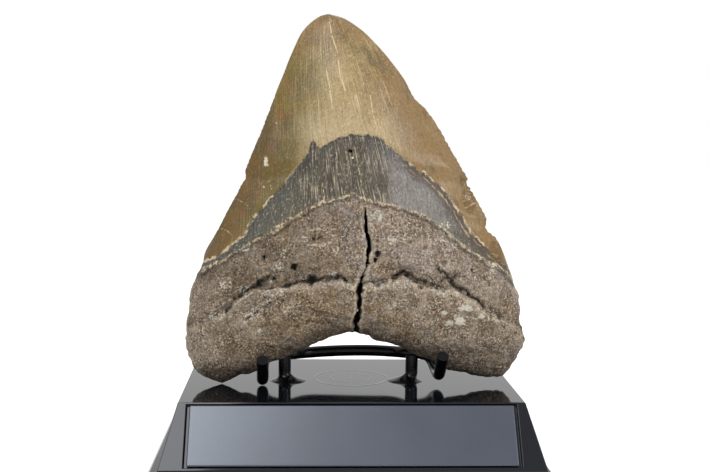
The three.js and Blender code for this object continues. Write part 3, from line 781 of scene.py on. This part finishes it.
ENAMEL_EDGE: Line = [
    (-60, 36), (-46.5, 40.1), (-43.6, 41.4), (-40.7, 43.1), (-38.5, 45.0), (-36.3, 46.9), (-34.3, 48.3),
    (-33.1, 50.5), (-31.8, 53.4), (-28.7, 57.0), (-25.5, 60.9), (-23.2, 63.2), (-21.0, 65.8),
    (-19.1, 68.7), (-16.5, 71.3), (-14.3, 74.2), (-13.0, 77.8), (-12.5, 78.8), (-11.4, 77.2),
    (-10.1, 76.2), (-7.8, 77.8), (-4.6, 79.5), (-0.7, 80.4), (2.5, 80.6), (6.4, 80.3), (8.7, 79.8),
    (10.6, 78.0), (12.9, 76.1), (15.5, 73.9), (18.2, 72.0), (20.5, 70.0), (21.8, 68.4), (23.1, 69.4),
    (24.7, 67.8), (27.0, 65.9), (29.3, 63.6), (31.3, 61.4), (33.6, 58.2), (36.0, 54.6), (39.0, 49.6),
    (41.5, 47.6), (45.2, 43.9), (49.4, 39.9), (60, 31),
]
BOURLETTE_EDGE: Line = [
    (-60, 32), (-46.9, 37.3), (-40.0, 41.2), (-31.8, 46.0), (-28.5, 47.6), (-24.7, 49.6), (-21.2, 52.7),
    (-15.6, 56.0), (-9.1, 59.3), (-4.3, 60.5), (0.6, 61.4), (3.0, 60.2), (9.5, 59.0), (16.9, 57.0),
    (24.2, 54.7), (30.0, 50.6), (36.6, 45.0), (44.0, 40.1), (48.9, 37.7), (60, 30),
]
OUTER_EDGE: Line = [
    (-60, 36), (-47.5, 40.5), (-34, 44.5), (-20, 48.5), (-8, 51.5), (4, 52), (18, 49.5), (34, 45),
    (49, 40), (60, 36),
]
HOLLOWS: Line = [
    (-17.0, 34.8, 9.0, 2.8, 1.2), (15.5, 37.6, 6.5, 2.2, 1.1), (-33.0, 30.0, 8.0, 3.0, 0.9),
    (-12.0, 47.8, 4.6, 2.4, 0.8), (34.0, 35.6, 7.0, 3.0, 0.8), (-24.0, 40.5, 3.6, 3.0, 0.6),
    (25.0, 33.8, 7.0, 2.0, 0.7), (46.0, 25.0, 6.0, 2.4, 0.6), (-30.0, 24.0, 5.0, 2.0, 0.6),
    (-44.0, 17.0, 6.0, 8.0, 0.7), (-10.0, 24.0, 9.0, 5.0, 0.15), (18.0, 24.0, 8.0, 5.0, 0.3),
    (44.0, 12.0, 6.0, 5.0, 0.8), (-6.0, 41.0, 2.6, 5.0, 0.5), (10.0, 46.0, 2.4, 6.0, 0.4),
    (27.0, 44.0, 5.0, 4.0, 0.5),
]
CHIPS: Line = [(38.8, 60.6, 2.6, 5.2), (47.2, 43.6, 2.6, 4.2), (36.6, 67.4, 1.2, 2.2)]
CHALK: Line = [
    (36.2, 25.8, 2.9, 1.7), (29.9, 24.3, 1.1, 1.1), (31.3, 20.7, 1.9, 1.2), (34.9, 21.3, 2.2, 1.8),
    (33.4, 23.0, 1.0, 0.8), (42.0, 22.8, 1.6, 0.9), (-28.9, 17.7, 0.9, 0.9), (-27.5, 72.0, 0.9, 2.4),
    (-24.4, 84.6, 0.3, 0.4), (0.2, 73.3, 0.7, 0.4), (-28.0, 63.9, 0.5, 0.5),
]
CRUSTS: Line = [
    (-42.9, 22.6, 4.4, 3.0), (-21.5, 42.5, 1.8, 2.6), (-22.5, 47.2, 1.4, 1.6), (-5.0, 43.5, 2.2, 2.4),
    (-23.5, 38.8, 3.0, 2.0), (39.5, 36.0, 1.0, 1.4), (12.0, 47.0, 4.0, 2.0), (-34.0, 31.5, 4.0, 1.6),
    (-6.0, 36.5, 3.0, 1.0), (-24.0, 29.8, 6.0, 1.0), (30.0, 52.0, 3.0, 2.0), (46.0, 38.5, 3.0, 2.4),
    (-40.0, 33.0, 3.0, 3.0), (8.0, 55.0, 3.0, 3.0), (20.0, 30.0, 5.0, 1.0), (-34.0, 44.0, 3.0, 1.2),
]
RUST: Line = [(-10.7, 47.7, 3.0, 1.4), (54.0, 17.2, 0.9, 0.9), (17.0, 36.4, 2.6, 1.0)]
SPINE: Line = [(60.0, 3.3), (120.4, -7.8)]
HALF_WIDTHS: Line = [
    (40, 49), (50, 44.5), (60, 39.5), (70, 35), (80, 29.5), (90, 24.5), (100, 19.5), (110, 13.4),
    (116, 8.6), (121, 4.0),
]
VEINS: list[Line] = [
    [(-37.5, 60.0), (-34.6, 58.9), (-32.7, 57.0)],
    [(-41.9, 50.4), (-39.9, 49.7), (-38.3, 48.5)],
    [(-26.5, 66.1), (-25.5, 62.9)],
    [(-7.4, 117.5), (-6.6, 112.5), (-5.0, 107.6), (-4.0, 99.6), (-2.4, 94.9)],
    [(-8.4, 101.5), (-7.2, 95.2), (-6.4, 89.0)],
    [(5.6, 93.5), (6.6, 86.8), (7.6, 82.0)],
    [(36.6, 61.8), (39.4, 61.2)],
    [(38.4, 58.0), (40.4, 59.4)],
    [(4.6, 58.0), (3.3, 63.0), (2.0, 70.0)],
    [(-8.5, 58.0), (-9.4, 65.0)],
]


@dataclass
class Tooth:
    """The fossil tooth: an inner and an outer sheet that share their rim."""

    place_y: float = -7.0
    lean: float = math.radians(4.5)
    ground: float = 27.0
    inner_depth: Line = field(default_factory=lambda: [
        (0, 6.8), (12, 8.0), (22, 11.0), (32, 13.4), (40, 14.0), (50, 13.0), (62, 11.4), (80, 10.2),
        (100, 7.4), (112, 4.6), (118, 2.6), (121, 0.9)])
    outer_depth: Line = field(default_factory=lambda: [
        (0, 5.6), (20, 7.0), (34, 7.4), (48, 5.6), (62, 4.3), (80, 3.4), (100, 2.8), (112, 1.9),
        (121, 0.6)])
    inner_rim: float = 12.0
    outer_rim: float = 8.0
    root_thinning: float = 0.38
    outer_hollow: float = 0.12
    crown_roundness: float = 2.1
    root_top: float = 34.0
    crown_bottom: float = 56.0
    nick_rows: float = 2.0
    nick_reach: float = 0.14
    crack_depth: float = 7.0
    fissure_depth: float = 1.7
    enamel_step: float = 0.45
    fan_width: float = 30.0

    def column_places(self) -> np.ndarray:
        """Columns over a half row, from the edge to the middle line, close together at both ends."""
        at_edge = [0.0, 0.003, 0.008, 0.015, 0.024, 0.035]
        across = np.linspace(0.047, 0.953, 76)
        at_crack = [0.962, 0.97, 0.976, 0.981, 0.985, 0.989, 0.992, 0.995, 0.998, 1.0]
        return np.concatenate([at_edge, across, at_crack])

    def row_heights(self) -> np.ndarray:
        """Rows up the tooth as shares of the edges' length, closest over the crown's lower half."""
        rim = [0.0, 0.0012, 0.0035, 0.007, 0.0115, 0.017]
        root = np.arange(0.0215, 0.36, 0.0046)
        crown = np.arange(root[-1] + 0.0036, 0.8, 0.0036)
        top = np.linspace(crown[-1] + 0.006, 1.0, 34)
        return np.concatenate([rim, root, crown, top])

    def plane_grid(self) -> tuple[np.ndarray, np.ndarray]:
        """Lays the rows and columns out in the tooth's own plane.

        Returns:
            The points, shape (rows, columns, 2), and how far across its row each is, from -1 to 1.
        """
        left, right = np.array(LEFT_EDGE), np.array(RIGHT_EDGE)
        middle = np.array([point[:2] for point in CRACK] + ABOVE_CRACK)
        heights = self.row_heights()
        list_places = np.arange(len(left))
        both = (shares(left) + shares(right)) / 2
        places = np.interp(heights, both, list_places)
        centre = curve_at(middle, np.interp(heights, shares(middle), np.arange(len(middle))))
        columns = self.column_places()
        spread = np.minimum(np.minimum(self.nick_rows, places), list_places[-1] - places)
        evenness = step_up(columns, 0, self.nick_reach)[None, :, None]
        halves = []
        for edge, arch in ((left, LEFT_ARCH), (right, RIGHT_ARCH)):
            arch_line = np.array(arch)
            arch_points = curve_at(arch_line, np.interp(columns, shares(arch_line), np.arange(len(arch_line))))
            chord = arch_line[0] + (arch_line[-1] - arch_line[0]) * columns[:, None]
            bow = (arch_points - chord)[None] * (1 - heights)[:, None, None]
            true_edge = curve_at(edge, places)[:, None]
            even_edge = (curve_at(edge, places - spread) + curve_at(edge, places + spread))[:, None] / 2
            outer = true_edge + (even_edge - true_edge) * evenness
            part = columns[None, :, None]
            halves.append(outer * (1 - part) + centre[:, None] * part + bow)
        grid = np.concatenate([halves[0], halves[1][:, -2::-1]], axis=1)
        grid[-1] = left[-1]
        steps = np.linalg.norm(np.diff(grid, axis=1), axis=2)
        passed = np.concatenate([np.zeros((len(grid), 1)), np.cumsum(steps, axis=1)], axis=1)
        whole = np.maximum(passed[:, -1:], 1e-6)
        return self.serrate(grid), 2 * passed / whole - 1

    def serrate(self, grid: np.ndarray) -> np.ndarray:
        """Cuts the small saw teeth and chips into both edges of the crown."""
        for side, depth, pitch in ((0, 0.26, 1.5), (-1, 0.55, 1.9)):
            edge = grid[:, side]
            passed = np.concatenate([[0.0], np.cumsum(chords(edge))])
            seeded = np.stack([passed, np.full_like(passed, 7.0 + side), np.zeros_like(passed)], axis=1)
            wander = grain(seeded, (7, 1, 1))
            saw = np.abs(np.sin(math.pi * passed / pitch + 1.6 * wander)) - 1
            chips = np.minimum(grain(seeded, (2.6, 1, 1), seed=3.0), 0)
            worn = step_up(edge[:, 1], 42, 50) * step_up(edge[:, 1], 106, 84)
            shift = (saw * (0.6 + 0.6 * wander) + 0.9 * chips + 0.6) * depth * worn
            inward = grid[:, 6 if side == 0 else -7] - edge
            inward /= np.maximum(np.linalg.norm(inward, axis=1), 1e-6)[:, None]
            count = 12
            columns = range(count) if side == 0 else range(-1, -count - 1, -1)
            for rank, column in enumerate(columns):
                fade = max(0.0, 1 - rank / count)
                grid[:, column] -= inward * (shift * fade)[:, None]
        return grid

    def stand_off(self, grid: np.ndarray, across: np.ndarray, rim: np.ndarray, inner: bool) -> np.ndarray:
        """How far a sheet stands off the plane, without its small forms."""
        table = self.inner_depth if inner else self.outer_depth
        width = self.inner_rim if inner else self.outer_rim
        left = 1 - np.minimum(rim / width, 1)
        hollow = 0 if inner else self.outer_hollow
        thinning = self.root_thinning * across ** 2 + hollow * (1 - across ** 2) ** 2
        root = (1 - thinning) * np.sqrt(1 - left ** 2)
        crown = 1 - np.abs(across) ** self.crown_roundness
        share = step_up(grid[..., 1], self.root_top, self.crown_bottom)
        return table_at(table, grid[..., 1]) * (root + (crown - root) * share)

    @staticmethod
    def blobs(points: np.ndarray, spots: Line, power: float = 2.0, ragged: object = 0.0) -> np.ndarray:
        """1 in the middle of each round spot, 0 at its edge and below 0 outside."""
        best = np.full(len(points), -9.0)
        for x, y, wide, high in spots:
            reach = np.hypot((points[:, 0] - x) / wide, (points[:, 1] - y) / high) * (1 + ragged)
            best = np.maximum(best, 1 - reach ** power)
        return best

    @staticmethod
    def hollows(points: np.ndarray, coarse: np.ndarray) -> np.ndarray:
        """The depth of the soft hollows in the root."""
        deep = np.zeros(len(points))
        for x, y, wide, high, depth in HOLLOWS:
            reach = ((points[:, 0] - x) / wide) ** 2 + ((points[:, 1] - y) / high) ** 2
            deep += depth * np.exp(-1.4 * reach) * (1 + 0.8 * coarse)
        return deep

    def inner_marks(self, points: np.ndarray) -> dict[str, np.ndarray]:
        """Distances and marks of the inner side, for its relief and its finish."""
        marks = {}
        marks["enamel"] = height_over(points, ENAMEL_EDGE)
        marks["bourlette"] = height_over(points, BOURLETTE_EDGE)
        marks["ledge"] = height_over(points, LEDGE)
        coarse = grain(np.stack([points[:, 0], points[:, 1], np.zeros(len(points))], axis=1), (1.6, 1.6, 1), 3)
        cracks = np.array(CRACK)
        distance, place = near_line(points, cracks[:, :2])
        half = np.interp(place, np.arange(len(cracks)), cracks[:, 2]) * (1 + 0.75 * coarse)
        marks["crack"] = np.clip(1 - distance / half, 0, 1)
        # Painted shadow inside the crack, joined below by the fissures and pits.
        gap = np.clip(1.5 - distance / half, 0, 1)
        crust = np.exp(-((distance - 1.4) / 0.7) ** 2) * 0.6
        fissure = np.zeros(len(points))
        shade = np.zeros(len(points))
        flat = np.stack([points[:, 0], points[:, 1], np.zeros(len(points))], axis=1)
        torn = grain(flat, (3.2, 3.2, 1), 2, 13.0)
        kept = 0.35 + 0.65 * step_up(torn + 0.6 * coarse, -0.25, 0.1)
        above = step_up(marks["ledge"], -0.8, 0.8)
        for line in FISSURES:
            drawn = np.array(line)
            distance, place = near_line(points + 0.5 * torn[:, None], drawn[:, :2])
            wide = np.interp(place, np.arange(len(drawn)), drawn[:, 2])
            held = np.maximum(kept, step_up(wide, 0.7, 0.95))
            half = np.maximum(wide * (0.75 + 1.6 * coarse), 0.12)
            fissure = np.maximum(fissure, 0.65 * held * (1 - (distance / (1.4 * half)) ** 2))
            gap = np.maximum(gap, 0.55 * np.clip(1.0 - distance / half, 0, 1) * held)
            crust = np.maximum(crust, np.exp(-((distance - 1.5 * half - 0.4) / 0.8) ** 2) * (1 - 0.6 * above))
            # Painted shade: a dark halo along each fissure, strongest above its ledge.
            shade = np.maximum(shade, np.exp(-(distance / 1.8) ** 2) * (0.2 + 0.7 * above) * (1 + 1.5 * torn))
        reach = np.hypot((points[:, 0] + 10.7) / 4.3, (points[:, 1] - 47.7) / 2.5)
        crust = np.maximum(crust, 0.9 * np.exp(-((reach - 1 + 0.2 * torn) / 0.2) ** 2))
        marks["crust"] = np.maximum(crust, 0.9 * np.clip(self.blobs(points, CRUSTS, 1.0) * 1.6, 0, 1))
        marks["hollow"] = self.hollows(points, coarse)
        waves = np.sin(points[:, 0] * 2.1 + 0.12 * points[:, 1] + 5 * coarse)
        ribbed = np.exp(-((points[:, 0] - 12) / 9) ** 2 - ((points[:, 1] - 45) / 8) ** 2)
        marks["ribs"] = 0.2 * waves * ribbed
        pits = self.blobs(points, PITS, ragged=0.15 + 0.5 * coarse)
        marks["fissure"] = np.clip(np.maximum(fissure, pits), 0, 1)
        marks["gap"] = np.maximum(gap, np.clip(pits * 1.3, 0, 0.95))
        marks["shade"] = np.clip(shade, 0, 1)
        marks["chip"] = np.clip(self.blobs(points, CHIPS, 1.0) + 0.3, 0, 1)
        marks["chalk"] = np.clip(self.blobs(points, CHALK, 1.0), -1, 1)
        marks["rust"] = np.clip(self.blobs(points, RUST, 1.0), -2, 1)
        vein = np.zeros(len(points))
        for line in VEINS:
            distance, _ = near_line(points, np.array(line, float))
            vein = np.maximum(vein, 1 - distance / 0.42)
        marks["vein"] = vein
        return marks

    def outer_marks(self, points: np.ndarray) -> dict[str, np.ndarray]:
        """Distances and marks of the outer side, which the photograph doesn't show."""
        names = ("ledge", "fissure", "chip", "chalk", "rust", "vein", "crust", "hollow", "ribs", "shade")
        marks = {name: np.zeros(len(points)) for name in names}
        marks["enamel"] = height_over(points, OUTER_EDGE)
        marks["bourlette"] = marks["enamel"] - 0.4
        cracks = np.array(CRACK)[:8]
        distance, place = near_line(points, cracks[:, :2])
        half = np.interp(place, [0, 7], [0.7, 0.15])
        marks["crack"] = 0.5 * np.clip(1 - distance / half, 0, 1)
        # Painted shadow inside the crack.
        marks["gap"] = np.clip(1.2 - distance / half, 0, 1)
        marks["chalk"] = marks["chalk"] - 1
        marks["rust"] = marks["rust"] - 2
        return marks

    def relief(self, marks: dict[str, np.ndarray], stand_off: np.ndarray) -> np.ndarray:
        """How far the small forms raise or sink a side, kept small where the tooth is thin."""
        rise = self.enamel_step * (step_up(marks["enamel"], -0.35, 0.35) - 1)
        rise = rise + 0.22 * np.exp(-(marks["bourlette"] / 1.1) ** 2)
        rise = rise - 1.3 * step_up(marks["ledge"], -0.5, 0.7) * step_up(marks["ledge"], 9, 0.7)
        rise = rise + 0.4 * np.exp(-((marks["ledge"] + 2.6) / 2.0) ** 2)
        rise = rise - marks["hollow"] + marks["ribs"]
        rise = rise - self.fissure_depth * marks["fissure"] - 0.7 * step_up(marks["chip"], 0.1, 0.7)
        sunk = np.minimum(1, 2.2 * marks["crack"]) * self.crack_depth
        return np.maximum(rise - sunk, -0.7 * stand_off)

    def sheet(self, grid: np.ndarray, across: np.ndarray, rim: np.ndarray,
              inner: bool) -> tuple[bpy.types.Object, dict[str, np.ndarray]]:
        """Makes one side of the tooth from a primitive grid.

        Returns:
            The sheet and its marks, one value for each vertex of the sheet.
        """
        rows, columns = across.shape
        deselect_all()
        bpy.ops.mesh.primitive_grid_add(x_subdivisions=columns - 1, y_subdivisions=rows - 1, size=1)
        piece = bpy.context.object
        mesh = piece.data
        flat = np.empty(len(mesh.vertices) * 3)
        mesh.vertices.foreach_get("co", flat)
        flat = flat.reshape(-1, 3)
        column = np.rint((flat[:, 0] + 0.5) * (columns - 1)).astype(int)
        row = np.rint((flat[:, 1] + 0.5) * (rows - 1)).astype(int)
        off = self.stand_off(grid, across, rim, inner)
        off[0] = off[-1] = 0
        off[:, 0] = off[:, -1] = 0
        points = grid.reshape(-1, 2)
        marks = self.inner_marks(points) if inner else self.outer_marks(points)
        relief = self.relief(marks, off.ravel())
        marks["cavity"] = relief - self.softened(relief.reshape(across.shape)).ravel()
        raised = off.ravel() + relief
        index = row * columns + column
        side = -1 if inner else 1
        coordinates = np.stack([points[index, 0], side * raised[index], points[index, 1]], axis=1)
        mesh.vertices.foreach_set("co", (coordinates * MM).ravel())
        marks["rim"] = rim.ravel()
        heights = points[:, 1]
        middle = np.interp(heights, *zip(*SPINE))
        marks["fan"] = (points[:, 0] - middle) / (np.interp(heights, *zip(*HALF_WIDTHS)) / self.fan_width) ** 0.6
        return piece, {name: values[index] for name, values in marks.items()}

    @staticmethod
    def softened(values: np.ndarray, reach: int = 4) -> np.ndarray:
        """A grid's values averaged over the neighbours within a reach, along rows and columns."""
        for axis in (0, 1):
            padded = np.pad(values, [(reach, reach) if side == axis else (0, 0) for side in (0, 1)], mode="edge")
            span = values.shape[axis]
            shifts = [np.take(padded, range(step, step + span), axis=axis) for step in range(2 * reach + 1)]
            values = np.mean(shifts, axis=0)
        return values

    @staticmethod
    def store(piece: bpy.types.Object, marks: dict[str, np.ndarray]) -> None:
        """Writes the marks on a sheet's vertices."""
        for name, values in marks.items():
            layer = piece.data.attributes.new(name, "FLOAT", "POINT")
            layer.data.foreach_set("value", values.astype(np.float32))

    def weather(self, piece: bpy.types.Object) -> None:
        """Roughens the surface along its normals: strongly on the root, hardly on the enamel."""
        mesh = piece.data
        count = len(mesh.vertices)
        flat, normals = np.empty(count * 3), np.empty(count * 3)
        mesh.vertices.foreach_get("co", flat)
        mesh.vertices.foreach_get("normal", normals)
        points, normals = flat.reshape(-1, 3) / MM, normals.reshape(-1, 3)
        read = {}
        for name in ("enamel", "bourlette", "rim", "cavity"):
            values = np.empty(count, np.float32)
            mesh.attributes[name].data.foreach_get("value", values)
            read[name] = values
        root = step_up(read["bourlette"], 1.0, -2.0)
        crown = step_up(read["enamel"], -0.5, 0.5)
        swell = grain(points, (12, 12, 12), 2) * (0.8 * root + 0.15)
        lumps = grain(points, (3.6, 3.6, 3.6), 3, 5.0) * (0.34 * root + 0.05 * (1 - crown))
        pocks = -0.4 * step_up(grain(points, (1.9, 1.9, 1.9), 2, 17.0), 0.42, 0.7) * root
        grit = grain(points, (1.2, 1.2, 1.2), 2, 9.0) * 0.18 * root
        shift = (swell + lumps + pocks + grit) * step_up(read["rim"], -1.5, 1.5)
        uneven = 0.45 * root * step_up(points[:, 2], 1.5, 7)
        sideways = np.stack([grain(points, (3, 3, 3), 2, 21.0) * uneven, np.zeros(count),
                             grain(points, (3, 3, 3), 2, 31.0) * uneven], axis=1)
        cavity = read["cavity"] + 0.5 * lumps + pocks + 0.6 * grit
        mesh.attributes["cavity"].data.foreach_set("value", cavity.astype(np.float32))
        points += normals * shift[:, None] + sideways
        mesh.vertices.foreach_set("co", (points * MM).ravel())

    def build(self) -> bpy.types.Object:
        """Builds the tooth where it rests in the cradle."""
        grid, across = self.plane_grid()
        loop = np.concatenate([grid[:, 0], grid[::-1, -1], grid[0, ::-1]])
        rim = near_line(grid.reshape(-1, 2), loop[np.r_[True, chords(loop) > 1e-9]])[0].reshape(across.shape)
        inner, inner_marks = self.sheet(grid, across, rim, True)
        self.store(inner, inner_marks)
        outer, outer_marks = self.sheet(grid, across, rim, False)
        self.store(outer, outer_marks)
        deselect_all()
        outer.select_set(True)
        inner.select_set(True)
        bpy.context.view_layer.objects.active = inner
        bpy.ops.object.join()
        outward(inner, 2e-6)
        self.weather(inner)
        smooth(inner, 50.0)
        inner.rotation_euler = (-self.lean, 0, 0)
        inner.location = (0, self.place_y * MM, self.ground * MM)
        return finish_piece(inner, "fossil_tooth", Slot.FOSSIL, FossilFinish().make(), "tooth")


# The stand

@dataclass
class Cradle:
    """The bent rod and its two posts."""

    ground: float = 27.0
    radius: float = 1.9
    post_radius: float = 2.05
    foot_radius: float = 5.9
    posts: Line = field(default_factory=lambda: [(-21.15, -2.4, 8.2, 1.2), (20.8, -2.3, 8.7, -2.2)])
    route: Line = field(default_factory=lambda: [
        (-28.0, -18.0, 10.0), (-28.0, -16.8, 8.7), (-28.0, -15.2, 6.7), (-28.0, -13.4, 4.5),
        (-28.1, -11.6, 2.75), (-28.2, -9.6, 2.1), (-28.3, -7.0, 2.7), (-28.4, -4.2, 3.3),
        (-28.3, -1.4, 4.6), (-27.7, 0.4, 6.5), (-26.2, 0.9, 7.8), (-23.8, 0.3, 8.3), (-20.6, -0.6, 8.5),
        (-14.0, 3.6, 8.16), (-7.0, 5.0, 8.39), (0.6, 5.2, 8.63), (8.0, 4.9, 8.7), (15.0, 3.6, 8.61),
        (20.6, -0.6, 8.95), (24.0, 0.0, 8.6), (26.4, -0.2, 7.9), (27.7, -1.5, 6.5), (28.3, -3.7, 5.0),
        (28.7, -6.5, 4.0), (28.8, -9.2, 3.75), (28.9, -11.4, 4.2), (28.95, -13.4, 5.8), (29.0, -15.2, 7.9),
        (29.1, -16.9, 10.0), (29.2, -18.0, 11.3)])

    def rod(self) -> bpy.types.Object:
        """Makes the bent round rod from a curve through its centre line."""
        deselect_all()
        bpy.ops.curve.primitive_bezier_curve_add()
        piece = bpy.context.object
        curve = piece.data
        curve.splines.clear()
        spline = curve.splines.new("BEZIER")
        spline.bezier_points.add(len(self.route) - 1)
        for knot, (x, y, z) in zip(spline.bezier_points, self.route):
            knot.co = Vector((x, y, z + self.ground)) * MM
            knot.handle_left_type = knot.handle_right_type = "AUTO"
        curve.resolution_u = 5
        curve.bevel_depth = self.radius * MM
        curve.bevel_resolution = 6
        curve.use_fill_caps = True
        pick(piece)
        bpy.ops.object.convert(target="MESH")
        outward(piece)
        return piece

    def post(self, x: float, y: float, height: float, reach: float) -> bpy.types.Object:
        """Makes a post whose flared foot reaches to one side, by extruding and narrowing a disc."""
        deselect_all()
        start = (x + reach, y, self.ground)
        bpy.ops.mesh.primitive_circle_add(vertices=40, radius=self.foot_radius * MM, fill_type="NGON",
                                          location=Vector(start) * MM)
        piece = bpy.context.object
        profile = [(0.12, 5.6, 1.0), (0.3, 5.2, 0.97), (0.55, 4.3, 0.88), (0.9, 3.4, 0.7), (1.35, 2.75, 0.45),
                   (1.9, 2.3, 0.2), (2.6, 2.05, 0.0), (3.4, self.post_radius, 0.0), (height, self.post_radius, 0.0)]
        edit(piece)
        low, wide, leant = 0.0, self.foot_radius, 1.0
        for rise, radius, share in profile:
            step = ((share - leant) * reach * MM, 0, (rise - low) * MM)
            bpy.ops.mesh.extrude_region_move(TRANSFORM_OT_translate={"value": step})
            centre = Vector((x + share * reach, y, self.ground + rise)) * MM
            bpy.ops.transform.resize(value=(radius / wide, radius / wide, 1), center_override=centre)
            low, wide, leant = rise, radius, share
        close_edit()
        outward(piece)
        return piece

    def build(self) -> bpy.types.Object:
        """Fuses the rod and the posts into one piece."""
        rod = self.rod()
        for x, y, height, reach in self.posts:
            post = self.post(x, y, height, reach)
            bake_place(post)
            use_modifier(rod, "BOOLEAN", object=post, operation="UNION", solver="EXACT")
            bpy.data.objects.remove(post)
        self.round_ends(rod)
        smooth(rod, 42.0)
        paint = BlackFinish("black_rod_paint", srgb(2, 2, 3), srgb(60, 62, 66), 0.09, 0.1, 0.03, 3.0, 0.05,
                            specular=0.15)
        return finish_piece(rod, "bent_rod_cradle", Slot.ROD, paint.make(), "cradle")

    def round_ends(self, rod: bpy.types.Object) -> None:
        """Bevels the rim of each cut end of the rod."""
        top = (self.ground + 9.0) * MM
        edit(rod, "DESELECT")
        bpy.ops.mesh.select_mode(type="FACE")
        close_edit()
        for face in rod.data.polygons:
            face.select = len(face.vertices) > 8 and face.center.z > top
        bpy.ops.object.mode_set(mode="EDIT")
        bpy.ops.mesh.inset(thickness=0.35 * MM)
        bpy.ops.transform.translate(value=(0, -0.05 * MM, 0.22 * MM))
        close_edit()


@dataclass
class DisplayBase:
    """The black block with its plinth, sloping faces, recess and mould rings, and the bare plate."""

    height: float = 27.0
    top: Point = (106.0, 66.0)
    slope_drop: float = 17.5
    side_run: float = 4.8
    front_run: float = 12.6
    plinth: Point = (126.0, 99.0)
    plinth_height: float = 4.5
    plate: Point = (98.6, 19.2, 1.3)
    recess: Point = (100.6, 20.0, 1.3)
    plate_gap: float = 0.3
    plate_rise: float = 0.25

    def block(self) -> bpy.types.Object:
        """Makes the block by extruding the plinth's outline upwards and drawing it in."""
        band = (self.top[0] + 2 * self.side_run, self.top[1] + 2 * self.front_run)
        rings = [
            (self.plinth_height - 1, self.plinth), (self.plinth_height, (self.plinth[0] - 2, self.plinth[1] - 2)),
            (self.plinth_height, (band[0] + 1, band[1] + 1)), (self.height - self.slope_drop, band),
            (self.height, self.top),
        ]
        deselect_all()
        bpy.ops.mesh.primitive_plane_add(size=1)
        piece = bpy.context.object
        piece.scale = (self.plinth[0] * MM, self.plinth[1] * MM, 1)
        bake_place(piece)
        edit(piece)
        low, size = 0.0, self.plinth
        for rise, ring in rings:
            bpy.ops.mesh.extrude_region_move(TRANSFORM_OT_translate={"value": (0, 0, (rise - low) * MM)})
            share = (ring[0] / size[0], ring[1] / size[1], 1)
            bpy.ops.transform.resize(value=share, center_override=(0, 0, rise * MM))
            low, size = rise, ring
        close_edit()
        outward(piece)
        return piece

    def slope_slab(self, size: Point, low: float, high: float) -> bpy.types.Object:
        """Lays a slab on the front slope, from one depth under the face to another over it."""
        tilt = math.atan2(self.front_run, self.slope_drop)
        middle = (0, -(self.top[1] + self.front_run) / 2 * MM, (self.height - self.slope_drop / 2) * MM)
        out = Vector((0, -math.cos(tilt), math.sin(tilt))) * (low + high) / 2 * MM
        out += Vector((0, math.sin(tilt), math.cos(tilt))) * self.plate_rise * MM
        deselect_all()
        bpy.ops.mesh.primitive_cube_add(size=1, location=Vector(middle) + out, rotation=(-tilt, 0, 0))
        piece = bpy.context.object
        piece.scale = (size[0] * MM, (high - low) * MM, size[1] * MM)
        bake_place(piece)
        return piece

    def build(self) -> None:
        """Makes the block and the plate."""
        block = self.block()
        cutter = self.slope_slab(self.recess, -self.recess[2], 3.0)
        use_modifier(block, "BOOLEAN", object=cutter, operation="DIFFERENCE", solver="EXACT")
        bpy.data.objects.remove(cutter)
        crisp_bevel(block, 0.28)
        gloss = BlackFinish("gloss_black_plastic", srgb(5, 6, 10), srgb(70, 72, 80), 0.05, 0.04, 0.04, 14.0,
                            specular=0.29, shine_tint=(0.94, 0.96, 1.0, 1.0), ring_centre=(0.9, 1.8))
        finish_piece(block, "display_base", Slot.BASE, gloss.make(), "base")
        low = self.plate_gap - self.recess[2]
        plate = self.slope_slab(self.plate, low, low + self.plate[2])
        crisp_bevel(plate, 0.45)
        satin = BlackFinish("satin_plate_black", srgb(24, 27, 37), srgb(70, 77, 94), 0.26, 0.05, 0.2, 18.0, 0.01,
                            specular=0.86, shine_tint=(0.86, 0.92, 1.0, 1.0))
        finish_piece(plate, "bare_sign_plate", Slot.PLATE, satin.make(), "sign_plate")


def main() -> None:
    """Builds the pieces in order and reports each."""
    logging.basicConfig(level=logging.INFO, format="%(name)s %(message)s")
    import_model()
    Studio().set_up()
    DisplayBase().build()
    Cradle().build()
    Tooth().build()


if __name__ == "__main__":
    main()
